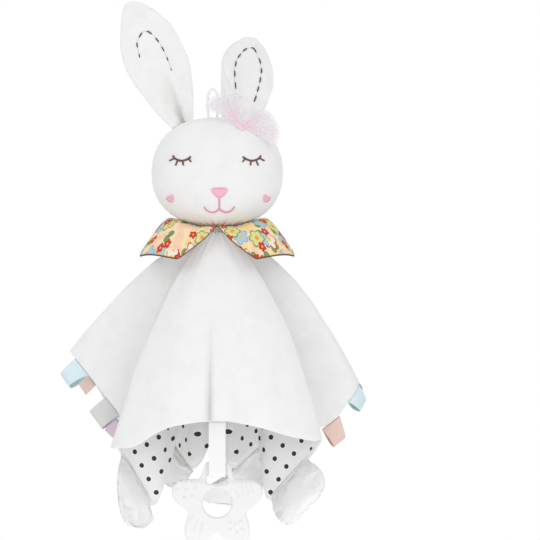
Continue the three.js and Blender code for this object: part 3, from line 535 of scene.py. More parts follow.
stitching = {"left": (4.8, 3.4, 0.85), "right": (7.2, 4.0, 0.0)}  # long, apart, sunk at its ends
brown_thread = spun("brown_thread", stitch_brown, (0.05, 0.026, 0.016, 1), 0.55)
pale_thread = spun("pale_thread", (0.50, 0.48, 0.43, 1), (0.36, 0.34, 0.30, 1), 0.55)
# The ears' velour takes a warm grey of painted shade in the fold at the left ear's root
ear_velour = velour("ear_velour", velour_white, velour_shade, (0.74, 0.73, 0.68, 1))
across, height = np.meshgrid(
    np.sin(np.linspace(-1, 1, ear_columns + 1) * math.pi / 2),
    1 - (1 - np.linspace(0, 1, ear_rows + 1)) ** 1.35,
)
for hand, ear in ears.items():
    front, back, middle = (ear_place(ear, across, height, side) for side in (1, -1, 0))
    # Painted shade: how far each point of the left ear takes the warm grey of its root fold
    painted_valley_shade = ear_valley_share(across, height) * (hand == "left")
    piece, sewn = cover("ear_" + hand, front, back, middle, across, height, painted_valley_shade)
    stuff(piece, sewn, ear_pressure, ear_growth, ear_swell)
    points = clear_of_head(places_of(piece), head_gap)
    root, (up, over, out), bend, hand = ear
    seated = np.clip(1 - (points - root) @ up / ear_seat, 0, 1)[:, None] ** 2
    away = points - head_middle
    far = np.linalg.norm(away, axis=1)[:, None]
    on_skin = head_middle + away / far * head_reach(away / far, head_gap)[:, None]
    points += (on_skin - points) * seated
    leaf = smooth_line([(a, h, 0) for a, h in inner_leaf[hand]], 400)
    line = ear_place(ear, leaf[:, 0], leaf[:, 1], 1)
    skin = (points, [list(face.vertices) for face in piece.data.polygons])
    line = onto(skin, line, out)
    near = np.array([np.min(np.sum((line - point) ** 2, axis=1)) for point in points])
    points = points - out * (quilted * np.exp(-near / 1.6))[:, None]
    move_to(piece, points)
    line = onto((points, skin[1]), line, out)
    piece.data.materials.append(ear_velour)
    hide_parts(f"ear_{hand}_front", f"ear_{hand}_back")
    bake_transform(piece)
    length = lengths_along(line)
    dashes, links_between = [], []
    stitch_long, stitch_gap, sunk = stitching[hand]
    for start in np.arange(0, length[-1] - stitch_long, stitch_long + stitch_gap):
        dash = placed_along(start + np.linspace(0, stitch_long, len(stitch_rise)), length, line)
        rise = np.array(stitch_rise) - sunk * abs(2 * start / length[-1] - 0.7)
        dashes.append(dash + out * rise[:, None])
        at = start + stitch_long + np.linspace(-0.4, stitch_gap + 0.4, 7)
        links_between.append(placed_along(at, length, line) + out * 0.02)
    for name, paths, half, finish in (
        ("ear_stitches_", dashes, stitch_half, brown_thread),
        ("ear_thread_", links_between[:-1], link_half, pale_thread),
    ):
        stitches = threads(name + hand, paths, half, finish, 8)
        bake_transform(stitches)

# Bow: two fans of pink tulle, pleated at the knot and cut with a pinked edge, sewn on the
# head beside the right ear. Each fan is three layers of net that the light comes through.
knot_side, knot_high, knot_size = 17.0, 34.5, 6.4
knot_long, knot_wide, knot_deep, knot_back = 4.2, 1.3, 1.4, 1.2
knot_pleats, knot_pleat_deep, knot_slant = 9, 0.12, math.radians(45)
fan_open, fan_lift = {"left": 68.0, "right": 92.0}, 2.6
fan_wide, fan_long = {"left": 22.0, "right": 25.0}, 25.0
fan_steps = [-1, -0.6, -0.2, 0.2, 0.6, 1]
fans = {
    "left": (116.0, "bow_left_wing", [26.4, 27.0, 27.8, 29.0, 30.6, 30.8]),
    "right": (18.0, "bow_right_wing", [30.0, 30.0, 27.6, 24.8, 20.8, 18.4]),
}
# Each layer: how far back, its turn, its share of the reach, pleats, their depth and seed
fan_layers = {
    "front": (0.0, 0.0, 1.0, 1.9, 2.0, 41),
    "middle": (0.7, 3.0, 0.93, 2.3, 1.0, 42),
    "under": (1.4, -2.0, 0.9, 1.7, 0.9, 43),
}
pinking, pinked_teeth, fan_root = 1.4, 10, 1.6


def face_depth(x, z, stand=0.0):
    """How far the front of the head lies before its middle, at a place of the face."""
    rise = np.where(z > 0, head_rise, head_fall)
    flat = np.abs(x / head_wide) ** head_square + np.abs(z / rise) ** head_square
    deep = np.clip(1 - flat ** (head_depth_square / head_square), 0, None)
    return head_deep * deep ** (1 / head_depth_square) + stand


def cloth_places(tree, scale=(1, 1, 1), start=(0, 0, 0), turn=0.0):
    """Places in the flat cloth that a piece is cut from, in metres, as a pattern needs them."""
    flat = node(tree, "ShaderNodeUVMap", uv_map="cloth").outputs["UV"]
    made = node(tree, "ShaderNodeMapping", in_Vector=flat, in_Location=start, in_Scale=scale)
    return set_up(tree, made, in_Rotation=(0, 0, turn)).outputs["Vector"]


def maths(tree, operation, *values):
    """What a maths node makes of numbers and of other nodes' outputs."""
    inputs = {f"in_{place}": value for place, value in enumerate(values)}
    return node(tree, "ShaderNodeMath", operation=operation, **inputs).outputs["Value"]


def tulle(name, inner, outer):
    """Net of fine threads that the light passes through, paler towards its edge."""
    material, tree, shader = new_finish(name, 0.6)
    grid = cloth_places(tree, (1500, 1500, 1500), turn=math.radians(45))
    parts = node(tree, "ShaderNodeSeparateXYZ", in_Vector=grid).outputs
    lines = [
        maths(tree, "LESS_THAN", maths(tree, "PINGPONG", parts[axis], 0.5), 0.11) for axis in "XY"
    ]
    far = node(tree, "ShaderNodeAttribute", attribute_name="outward").outputs["Fac"]
    net = ranged(tree, maths(tree, "MAXIMUM", *lines), 0.0, 1.0, 0.5, 0.58)
    dense = maths(tree, "MAXIMUM", net, ranged(tree, far, 0.955, 0.97, 0.0, 0.85))
    tint = coloured(tree, shader, blended(tree, ranged(tree, far, 0.0, 0.65), inner, outer))
    lit = node(tree, "ShaderNodeBsdfTranslucent", in_Color=tint)
    clear = node(tree, "ShaderNodeBsdfTransparent")
    body = node(tree, "ShaderNodeMixShader", in_0=0.3, in_1=shader.outputs[0], in_2=lit.outputs[0])
    seen = node(tree, "ShaderNodeMixShader", in_0=dense, in_1=clear.outputs[0], in_2=body.outputs[0])
    tree.links.new(seen.outputs[0], tree.nodes["Material Output"].inputs["Surface"])
    return material


def lay_flat(piece, flat, name="cloth"):
    """Gives the piece a UV map in metres, from a flat place for each point."""
    layer = piece.data.uv_layers.new(name=name)
    corners = np.empty(len(piece.data.loops), int)
    piece.data.loops.foreach_get("vertex_index", corners)
    layer.data.foreach_set("uv", (np.asarray(flat)[corners] * 0.001).ravel())


pink_tulle = tulle("pink_tulle", (0.96, 0.74, 0.84, 1), (0.88, 0.85, 0.885, 1))
knot_at = np.array((
    head_middle[0] + knot_side,
    -face_depth(np.array(knot_side), np.array(knot_high)) - 0.3 - knot_size / 2,
    head_middle[2] + knot_high,
))
wing_rows, wing_columns = 36, 220
share, over = np.meshgrid(
    np.linspace(0, 1, wing_rows + 1), np.linspace(-1, 1, wing_columns + 1), indexing="ij"
)
for hand, (middle_turn, replaced, reaches) in fans.items():
    for layer, (back, turned, short, pleats, deep, seed) in fan_layers.items():
        teeth = pinking * (np.abs((over * pinked_teeth) % 1 * 2 - 1) - 0.5)
        spread = fan_open[hand] * (0.72 + 0.28 * share) / 2
        turn = np.radians(middle_turn + turned + over * spread)
        reach = through(fan_steps, reaches, over) * short
        reach = fan_root + (reach - fan_root) * share + teeth * share**9
        phase = over * math.pi * pleats + back * 1.4 + 0.6 * np.sin(over * 3 + back)
        wave = np.sin(phase) + 0.16 * np.sin(2.7 * phase + 1 + back)
        crumple = unevenness(np.stack([over * 16, share * 26, 0 * over], axis=-1), 9.0, seed) * share
        lift = fan_lift * share * (1 - share * 0.4)
        points = np.stack(
            [
                knot_at[0] + np.cos(turn) * reach,
                knot_at[1] + 1.2 * (1 - share) - lift + wave * deep * share**0.8 + crumple + back,
                knot_at[2] + np.sin(turn) * reach,
            ],
            axis=-1,
        ).reshape(-1, 3)
        points = clear_of_head(points, 0.8 - back * 0.4)
        wing = made_of(f"bow_{hand}_{layer}", points, sheet_faces(wing_rows + 1, wing_columns + 1))
        cut = (fan_wide[hand], fan_long * short)
        lay_flat(wing, np.stack([over * cut[0] / 2, share * cut[1]], axis=-1).reshape(-1, 2))
        note(wing, "outward", share.ravel())
        wing.data.materials.append(pink_tulle)
        if layer == "front":
            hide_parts(replaced)
        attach(wing, "head")
knot_turn, knot_up = np.meshgrid(np.linspace(0, 2 * math.pi, 97)[:-1], np.linspace(-1, 1, 41))
pleat = 1 + knot_pleat_deep * np.sin(knot_turn * knot_pleats + knot_up * 1.4) * np.cos(knot_up * math.pi / 2)
barrel = np.sqrt(np.clip(1 - knot_up**2, 0, 1)) * pleat
along, across = knot_up * knot_long, np.cos(knot_turn) * barrel * knot_wide
spool = np.stack([
    along * math.sin(knot_slant) + across * math.cos(knot_slant),
    np.sin(knot_turn) * barrel * knot_deep + knot_back,
    -along * math.cos(knot_slant) + across * math.sin(knot_slant),
], axis=-1)
knot_places = clear_of_head(knot_at + spool.reshape(-1, 3), head_gap)
knot = made_of("bow_knot", knot_places, sheet_faces(41, 96, 0, False, True))
weld(knot)
tight_tulle = spun("tight_tulle", (0.97, 0.74, 0.84, 1), (0.90, 0.58, 0.72, 1), 0.6)
knot.data.materials.append(tight_tulle)
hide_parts("bow_knot")
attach(knot, "head")

# Face: eyes, nose, mouth and cheek hearts in satin stitch, sewn through the face panel.
# Each thread is a short arch across its line, lying close beside the next.
thread_half, thread_pitch = 0.2, 0.34
satin_rise = 0.62
eye_apart, eye_up, lid_wide, lid_sag = 51.5, 10.2, 13.4, 3.4
nose_side, nose_down, nose_wide, nose_high = 1.8, 14.8, 12.6, 8.8
mouth_down, mouth_wide = 27.4, 22.0
heart_apart, heart_side, heart_down, heart_size = 71.2, 1.1, 19.1, 5.8
lid_width, lash_width, lip_width, rim_width, heart_rim_width = 1.35, 1.1, 1.15, 0.7, 0.8


def on_face(flat, stand):
    """Places on the face from places across and up, standing off the velour."""
    x, z = flat[:, 0], flat[:, 1]
    return np.stack([head_middle[0] + x, -face_depth(x, z, stand), head_middle[2] + z], axis=1)


def arch(start, end, points=6, rise=satin_rise):
    share = np.linspace(0, 1, points)
    flat = np.outer(1 - share, start) + np.outer(share, end)
    return on_face(flat, np.sin(share * math.pi) ** 0.6 * rise)


def satin_line(points, width, closed_ends=0.35):
    """Satin stitches square across a line, shorter towards its two ends."""
    line = smooth_line([(x, z, 0) for x, z in points], 240)[:, :2]
    length, ways = lengths_along(line), ways_along(line)
    made = []
    for at in np.arange(0, length[-1], thread_pitch):
        place, way = placed_along(at, length, line), placed_along(at, length, ways)
        end = min(at, length[-1] - at)
        half = width / 2 * min(1, closed_ends + end / width)
        across = np.array((-way[1], way[0])) * half
        slant = way * thread_pitch * 0.5
        made.append(arch(place - across - slant, place + across + slant))
    return made


pink_thread = spun("pink_thread", (0.90, 0.44, 0.59, 1), (0.79, 0.31, 0.46, 1), 0.45, 0.1)
nose_pink = spun("nose_pink", (0.96, 0.62, 0.76, 1), (0.92, 0.51, 0.67, 1), 0.45, 0.1)
eye_brown = spun("eye_brown", (0.23, 0.125, 0.09, 1), (0.14, 0.075, 0.052, 1), 0.5, 0.1)
lid = [
    (-0.47, 0.57), (-0.33, 0.16), (-0.17, -0.14), (0.05, -0.29), (0.276, -0.07), (0.437, 0.32),
    (0.533, 0.9),
]
# Each lash: where it leaves the lid and where it ends
lashes = [
    (-0.35, 0.1, -0.5, -0.57), (-0.01, -0.3, -0.06, -1.3), (0.25, -0.1, 0.38, -1.3),
    (0.43, 0.3, 0.73, -0.26),
]
for name, hand in (("eye_left", -1), ("eye_right", 1)):
    def eye_point(x, z):
        return (hand * (eye_apart / 2 + x * lid_wide), eye_up + z * lid_sag)

    paths = satin_line([eye_point(x, z) for x, z in lid], lid_width, 0.7)
    for x, z, tip_x, tip_z in lashes:
        paths += satin_line([eye_point(x, z), eye_point(tip_x, tip_z)], lash_width, 0.6)
    eye = threads(name, paths, thread_half, eye_brown)
    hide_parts(name)
    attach(eye, "head")


def bezier(start, one, two, end, steps=24):
    t = np.linspace(0, 1, steps)[:, None]
    start, one, two, end = (np.array(p, float) for p in (start, one, two, end))
    return (1 - t) ** 3 * start + 3 * t * (1 - t) ** 2 * one + 3 * t**2 * (1 - t) * two + t**3 * end


def filled(outline, rows_apart, across_way=(0, 1)):
    """Long stitches side by side that fill an outline, running along one way."""
    way = np.array(across_way, float)
    way /= np.linalg.norm(way)
    over = np.array((way[1], -way[0]))
    a, b = outline @ over, outline @ way
    made = []
    for at in np.arange(a.min() + rows_apart / 2, a.max(), rows_apart):
        cuts = []
        for i in range(len(outline)):
            j = (i + 1) % len(outline)
            if (a[i] - at) * (a[j] - at) < 0:
                cuts.append(b[i] + (b[j] - b[i]) * (at - a[i]) / (a[j] - a[i]))
        cuts.sort()
        for low, high in zip(cuts[::2], cuts[1::2]):
            made.append(arch(over * at + way * low, over * at + way * high, 12))
    return made


w, h = nose_wide / 2, nose_high / 2
half = np.concatenate([
    bezier((0, -h), (w * 0.35, -h), (w, h * 0.1), (w, h * 0.5)),
    bezier((w, h * 0.5), (w, h * 1.0), (w * 0.4, h * 1.0), (0, h * 0.93)),
])
nose_line = np.concatenate([half, half[::-1] * (-1, 1)]) + (nose_side, -nose_down)
nose = threads("nose", filled(nose_line, thread_pitch), thread_half, nose_pink)
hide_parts("nose")
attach(nose, "head")
nose_middle = np.array((nose_side, -nose_down + 0.5))
inset = nose_middle + (nose_line - nose_middle) * 0.72
rim_paths = satin_line(np.concatenate([inset[::4], inset[:1]]), rim_width, 1.0)
rim = threads("nose_rim", rim_paths, thread_half, pink_thread)
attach(rim, "head")
smile = [(0, 0.04), (0.07, -0.024), (0.18, -0.075), (0.31, -0.07), (0.43, -0.005), (0.52, 0.106)]
lips = []
for hand in (-1, 1):
    lip = [(nose_side + hand * x * mouth_wide, -mouth_down + z * mouth_wide) for x, z in smile]
    lips += satin_line(lip, lip_width, 0.6)
stem = [(nose_side, -nose_down - h), (nose_side, -mouth_down + 0.9)]
mouth = threads("mouth", lips + satin_line(stem, lip_width, 0.8), thread_half, pink_thread)
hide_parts("mouth")
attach(mouth, "head")
u = heart_size / 2
lobe = np.concatenate([
    bezier((0, -u), (u * 1.3, -u * 0.1), (u * 1.1, u), (u * 0.5, u)),
    bezier((u * 0.5, u), (u * 0.2, u), (0, u * 0.8), (0, u * 0.5)),
])
for name, hand in (("cheek_heart_left", -1), ("cheek_heart_right", 1)):
    tilt = math.radians(-25 * hand)
    spin = np.array(((math.cos(tilt), math.sin(tilt)), (-math.sin(tilt), math.cos(tilt))))
    at = (heart_side + hand * heart_apart / 2, -heart_down)
    outline = np.concatenate([lobe, lobe[::-1] * (-1, 1)]) @ spin + at
    edge = satin_line(lobe[2:20:3] * (hand, 1) * 0.92 @ spin + at, heart_rim_width, 0.6)
    dark_edge = threads(name + "_edge", edge, thread_half, pink_thread)
    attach(dark_edge, "head")
    filling = filled(outline, thread_pitch, (math.sin(tilt), math.cos(tilt)))
    heart = threads(name, filling, thread_half, nose_pink)
    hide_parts(name)
    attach(heart, "head")

# Neck: the velour of the head gathered to a stub under the chin, with a turn of thread
# round it, which the blanket's ring is sewn to.
neck_at = np.array((3.4, 0.0, -106.2))
neck_half, neck_folds, neck_fold_deep = 7.4, 17, 0.09
round_neck, down_neck = np.meshgrid(np.linspace(0, 2 * math.pi, 241)[:-1], np.linspace(-1, 1, 49))
gather = 1 - neck_fold_deep * np.abs(np.sin(round_neck * neck_folds / 2)) * np.cos(down_neck * 1.2)
stub = np.sqrt(np.clip(1 - down_neck**2, 0, 1)) * neck_half * gather
neck_skin = np.stack(
    [np.cos(round_neck) * stub, np.sin(round_neck) * stub, down_neck * neck_half], axis=-1
)
neck = made_of("neck", neck_at + neck_skin.reshape(-1, 3), sheet_faces(49, 240, 0, False, True))
weld(neck)
neck.data.materials.append(white_velour)
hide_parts("neck")
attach(neck, "head")

# Blanket: a square of velour with its lining of dotted cotton, sewn together round the hem
# and turned, drawn up at its middle and stitched round the neck. It hangs in folds.
half_side, ring_half, ring_drop = 155.0, 9.9, 1.2
shoulder_left, shoulder_right = 17.0, 27.0
velour_thick, lining_thick, cloth_gap = 1.5, 1.0, 0.3
paw_seam = 49.0
hem_table = [
    (-0.046, -0.3, -0.914, "strap_left"), (0.05, -0.3, -0.914, "strap_right"),
    (0.215, -0.335, -0.945, ""), (0.35, -0.31, -0.984, ""), (0.467, -0.255, -1.008, ""),
    (0.506, -0.19, -1.008, ""), (0.443, -0.12, -1.1, "front_right_outer"),
    (0.26, -0.04, -1.3, "front_right_inner"), (0.225, 0, -1.15, ""), (0.22, 0.04, -0.99, ""),
    (0.31, 0.07, -0.97, ""), (0.42, 0.09, -0.965, "right_lilac"),
    (0.55, 0.115, -0.93, "right_peach"), (0.672, 0.13, -0.775, "right_mint"),
    (0.68, 0.22, -0.72, ""), (0.6, 0.33, -0.71, "right_grey"), (0.48, 0.41, -0.77, ""),
    (0.35, 0.45, -0.88, "right_yellow"), (0.22, 0.42, -1.035, "back_right_inner"),
    (0.08, 0.26, -1.155, "back_right_outer"), (0.05, 0.3, -1.07, ""), (0.13, 0.42, -0.94, ""),
    (0.16, 0.53, -0.83, ""), (0, 0.58, -0.78, ""), (-0.16, 0.53, -0.83, ""),
    (-0.13, 0.42, -0.94, ""), (-0.055, 0.3, -1.03, ""), (-0.12, 0.25, -1.16, "back_left_outer"),
    (-0.215, 0.42, -1.04, "back_left_inner"), (-0.35, 0.41, -0.97, ""),
    (-0.48, 0.36, -0.93, "left_lilac"), (-0.615, 0.29, -0.715, "left_peach"),
    (-0.728, 0.22, -0.57, "left_corner"), (-0.665, 0.15, -0.65, "left_mint"),
    (-0.505, 0.1, -0.85, "left_grey"), (-0.452, 0.08, -0.916, ""),
    (-0.31, 0.06, -0.96, "left_yellow"), (-0.21, 0.04, -0.99, ""), (-0.255, 0, -1.19, ""),
    (-0.322, -0.05, -1.322, "front_left_inner"), (-0.475, -0.13, -1.055, "front_left_outer"),
    (-0.505, -0.2, -1.045, ""), (-0.4, -0.27, -1.035, ""), (-0.3, -0.305, -0.975, ""),
    (-0.21, -0.325, -0.938, ""),
]
hem_names = [row[3] for row in hem_table]
hem_points = neck_at + np.array([row[:3] for row in hem_table]) * half_side
straight = {"strap_left", "front_right_outer", "back_right_inner", "back_left_outer", "front_left_inner"}
rounded = ["left_corner"]
crease_column, crease_breadth, crease_deep = 1.0, 1.3, 3.0
# The crease's grey is painted shade, laid down the front crease
crease_from, crease_fade, painted_crease_grey = 0.45, 1.4, (0.56, 0.56, 0.565, 1)
# Each rumple's length, seed and height
rumples = ((62.0, 21, 0.9), (27.0, 22, 0.28))
hem_quiet, gather_count, gather_deep, gather_fade = 0.55, 26, 0.5, 7
crease_hem_fade, crease_late = 0.9, 12
hem_fine, blanket_fine = 8, 64


def hem_line(steps):
    """The hem right round, so many places from each of its named points to the next."""
    count, line = len(hem_points), []
    for i in range(count):
        a, b, c, d = (hem_points[(i + k) % count] for k in (-1, 0, 1, 2))
        for t in np.arange(steps) / steps:
            line.append(b + (c - b) * t if hem_names[i] in straight else between(a, b, c, d, t))
    line = np.array(line)
    half_round = len(line) // 2
    for name in rounded:
        past = np.arange(len(line)) - hem_names.index(name) * steps
        near = (past + half_round) % len(line) - half_round
        share = np.exp(-((near / steps / 0.8) ** 2))[:, None]
        reach = steps // 2
        smooth = sum(np.roll(line, k, axis=0) for k in range(-reach, reach + 1)) / (2 * reach + 1)
        line = line * (1 - share) + smooth * share
    return line


def blanket_surface(steps, rows):
    """The velour's outside as it hangs: rows from the ring round the neck to the hem."""
    hem = hem_line(steps)
    turn = np.radians(-90 + (np.arange(len(hem)) / steps - 0.5) * steps / len(hem) * 360)
    start = neck_at + np.stack(
        [np.cos(turn) * ring_half, np.sin(turn) * ring_half, np.full(len(hem), -ring_drop)], axis=1)
    spread = hem - start
    level = spread * (1, 1, 0)
    wide = np.linalg.norm(level, axis=1)[:, None]
    out = level / wide * -spread[:, 2:] + np.array((0, 0, 1)) * wide
    out /= np.linalg.norm(out, axis=1)[:, None]
    shoulder = shoulder_left + (shoulder_right - shoulder_left) * (1 + np.cos(turn)) / 2
    control = start + spread * 0.3 + out * shoulder[:, None]
    t = (np.arange(rows + 1) / rows)[:, None, None]
    return start * (1 - t) ** 2 + control * (2 * t * (1 - t)) + hem * t**2


def outwards(grid):
    """The way out of a ring of cloth at each of its places."""
    along = np.roll(grid, -1, axis=1) - np.roll(grid, 1, axis=1)
    down = np.gradient(grid, axis=0)
    out = np.cross(down, along)
    return out / np.maximum(np.linalg.norm(out, axis=2), 1e-9)[:, :, None]


def flat_cut(steps, grid):
    """Where each place of the hanging cloth lies in the flat square it was cut from."""
    cut = half_side - paw_seam / math.sqrt(2)
    corners = [
        ("front_left_outer", (-cut, -half_side)), ("front_right_outer", (cut, -half_side)),
        ("front_right_inner", (half_side, -cut)), ("back_right_inner", (half_side, cut)),
        ("back_right_outer", (cut, half_side)), ("back_left_outer", (-cut, half_side)),
        ("back_left_inner", (-half_side, cut)), ("front_left_inner", (-half_side, -cut)),
    ]
    hem = grid[-1]
    count = len(hem)
    step_long = np.linalg.norm(np.roll(hem, -1, axis=0) - hem, axis=1)
    rim = np.zeros((count, 2))
    for (name, place), (next_name, next_place) in zip(corners, corners[1:] + corners[:1]):
        first, last = (hem_names.index(n) * steps for n in (name, next_name))
        span = [(first + k) % count for k in range((last - first) % count + 1)]
        run = np.concatenate([[0], np.cumsum(step_long[span[:-1]])])
        for index, share in zip(span, run / run[-1]):
            rim[index] = np.array(place) * (1 - share) + np.array(next_place) * share
    down = np.linalg.norm(np.diff(grid, axis=0), axis=2)
    share = np.concatenate([np.zeros((1, count)), np.cumsum(down, axis=0)]) / down.sum(axis=0)
    share = ring_half / half_side + (1 - ring_half / half_side) * share
    return rim[None] * share[:, :, None]


def eased(flat, hung, rounds):
    """Lets a flat map slide until its threads are as long as they are in the hanging cloth."""
    for _ in range(rounds):
        push, shares = np.zeros_like(flat), np.zeros(flat.shape[:2] + (1,))
        for down, along in ((0, 1), (1, 0), (1, 1), (1, -1)):
            rows = flat.shape[0] - down
            apart = np.roll(flat, -along, axis=1)[down:] - flat[:rows]
            threads_apart = np.roll(hung, -along, axis=1)[down:] - hung[:rows]
            length = np.linalg.norm(threads_apart, axis=2)[:, :, None]
            now = np.maximum(np.linalg.norm(apart, axis=2)[:, :, None], 1e-6)
            move = apart * (now - length) / now / 2
            push[:rows] += move
            push[down:] -= np.roll(move, along, axis=1)
            shares[:rows] += 1
            shares[down:] += 1
        flat = flat + push / shares
    return flat


drape = blanket_surface(hem_fine, blanket_fine)
out_of_drape = outwards(drape)
flat_drape = flat_cut(hem_fine, drape)
printed_flat = eased(flat_drape[::4, ::4], drape[::4, ::4], 500)
ring_of = np.arange(drape.shape[1]) / 4
low_column, part = ring_of.astype(int), (ring_of % 1)[None, :, None]
next_column = (low_column + 1) % printed_flat.shape[1]
printed_flat = printed_flat[:, low_column] * (1 - part) + printed_flat[:, next_column] * part
row_of = np.arange(drape.shape[0]) / 4
low_row = np.minimum(row_of.astype(int), printed_flat.shape[0] - 2)
part = (row_of - low_row)[:, None, None]
printed_flat = printed_flat[low_row] * (1 - part) + printed_flat[low_row + 1] * part
printed_flat = eased(printed_flat, drape, 40)
down_share = np.linspace(0, 1, blanket_fine + 1)[:, None]
flat3 = np.concatenate([flat_drape, np.zeros(flat_drape.shape[:2] + (1,))], axis=2)
rumple = sum(unevenness(flat3, long, seed) * high for long, seed, high in rumples)
round_ring = np.arange(drape.shape[1]) / drape.shape[1] * 2 * math.pi
gathers = np.sin(round_ring * gather_count + 2 * np.sin(round_ring * 3)) * gather_deep
gathers = gathers * np.exp(-down_share * gather_fade)
half_round = drape.shape[1] // 2
round_front = (np.arange(drape.shape[1]) + half_round) % drape.shape[1] - half_round
crease = np.exp(-(((round_front - crease_column) / crease_breadth) ** 2))
crease = crease * np.clip((down_share - crease_from) * 2, 0, 1) ** crease_fade
drape = drape + out_of_drape * (
    rumple * np.clip(down_share * 3, 0, 1) * (1 - hem_quiet * down_share) + gathers
    - crease * (1 - crease_hem_fade * down_share**crease_late) * crease_deep
)[:, :, None]
out_of_drape = outwards(drape)


def cloth_layer(name, outer, inner, short, flat_map):
    """A layer of the blanket with both its faces, its hem rounded and its ring closed."""
    fall = drape[-1] - drape[-2]
    fall /= np.linalg.norm(fall, axis=1)[:, None]
    drawn_up = drape - fall * short * (down_share**6)[:, :, None]
    top, under = drawn_up - out_of_drape * outer, drawn_up - out_of_drape * inner
    rows, columns = top.shape[:2]
    half = (inner - outer) / 2
    middle = drawn_up[-1] - out_of_drape[-1] * (outer + half)
    bend = [
        middle + out_of_drape[-1] * half * math.cos(a) + fall * half * math.sin(a)
        for a in np.radians((36, 72, 108, 144))
    ]
    skin = np.concatenate([top, np.array(bend), under[::-1]])
    faces = sheet_faces(skin.shape[0], columns, 0, False, True)
    last = (skin.shape[0] - 1) * columns
    faces += [(last + c, last + (c + 1) % columns, (c + 1) % columns, c) for c in range(columns)]
    layer = made_of(name, skin.reshape(-1, 3), faces)
    flat = np.concatenate([flat_map, np.repeat(flat_map[-1:], 4, axis=0), flat_map[::-1]])
    lay_flat(layer, flat.reshape(-1, 2))
    work = bmesh.new()
    work.from_mesh(layer.data)
    bmesh.ops.recalc_face_normals(work, faces=work.faces)
    work.to_mesh(layer.data)
    work.free()
    return layer


dot_apart = 11.8
# Shares of the way from a dot's middle to the next dot, and the print's tone there
dot_tones = [
    (0.0, (0.062, 0.062, 0.066, 1)), (0.10, (0.034, 0.034, 0.037, 1)),
    (0.150, (0.022, 0.022, 0.024, 1)), (0.172, (0.93, 0.93, 0.93, 1)),
    (0.225, (0.94, 0.94, 0.94, 1)), (0.26, (0.91, 0.91, 0.915, 1)),
]


def toned(tree, share, tones):
    """The colour at a share of the way along a row of tones."""
    made = node(tree, "ShaderNodeValToRGB", in_Fac=share)
    row = made.color_ramp.elements
    while len(row) < len(tones):
        row.new(0.5)
    for element, (at, colour) in zip(row, tones):
        element.position, element.color = at, colour
    return made.outputs["Color"]


def dotted(name):
    """White cotton printed with charcoal dots, each with a thin white edge, in plain weave."""
    material, tree, shader = new_finish(name, 0.88)
    place = cloth_places(tree, (1000 / dot_apart, 1000 / dot_apart, 1), (0.5, 0.5, 0))
    for operation, other in (("FRACTION", None), ("SUBTRACT", (0.5, 0.5, 0)), ("MULTIPLY", (1, 1, 0))):
        step = node(tree, "ShaderNodeVectorMath", operation=operation, in_0=place)
        if other:
            step.inputs[1].default_value = other
        place = step.outputs["Vector"]
    far = node(tree, "ShaderNodeVectorMath", operation="LENGTH", in_0=place).outputs["Value"]
    coloured(tree, shader, toned(tree, far, dot_tones))
    weave = node(tree, "ShaderNodeTexBrick", offset=0.5, in_Scale=1.0, in_Mortar_Size=0.08)
    set_up(tree, weave, in_Vector=cloth_places(tree, (1600, 1600, 1)))
    set_up(tree, weave, in_Brick_Width=1.0, in_Row_Height=0.5)
    raised(tree, shader, weave.outputs["Fac"], 0.3, 0.0002, invert=True)
    return material


top = cloth_layer("blanket_top", 0.0, velour_thick, 0.0, flat_drape)
# Painted shade down the front crease: how much of the grey each point of the velour's outside takes
painted_crease_shade = np.zeros((2 * drape.shape[0] + 4, drape.shape[1]))
painted_crease_shade[:drape.shape[0]] = crease**1.5
note(top, "fold", painted_crease_shade.ravel())
top.data.materials.append(velour("blanket_velour", velour_white, velour_shade, painted_crease_grey))
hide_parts("blanket_top")
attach(top, "blanket")
inside = velour_thick + cloth_gap
lining = cloth_layer("blanket_lining", inside, inside + lining_thick, 3.0, printed_flat)
dotted_cotton = dotted("dotted_cotton")
lining.data.materials.append(dotted_cotton)
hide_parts("blanket_lining")
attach(lining, "blanket")

# Paws: four mittens of velour over a little wadding, each sewn in the hem across a corner
# of the blanket.
paw_long, paw_wide, paw_thick = 37.0, 49.0, 9.0
paw_pressure, paw_growth, paw_swell = 2.0, 0.04, 2.0
paw_heights, paw_widths = [0, 0.06, 0.25, 0.5, 0.75, 0.93, 1], [0.88, 0.89, 0.96, 1, 0.94, 0.74, 0.46]
coarse = blanket_surface(2, 5)
paw_rows, paw_columns = 36, 40


def hem_frame(name):
    """The hem's place, its run, the way down and the way out of the cloth, at a named point."""
    index = hem_names.index(name) * 2
    last, above = coarse[-1], coarse[-2]
    along = last[(index + 1) % len(last)] - last[index - 1]
    along /= np.linalg.norm(along)
    down = last[index] - above[index]
    down /= np.linalg.norm(down)
    out = np.cross(down, along)
    out /= np.linalg.norm(out)
    down = np.cross(along, out)
    return last[index] - out * (velour_thick + cloth_gap + lining_thick) / 2, along, down, out


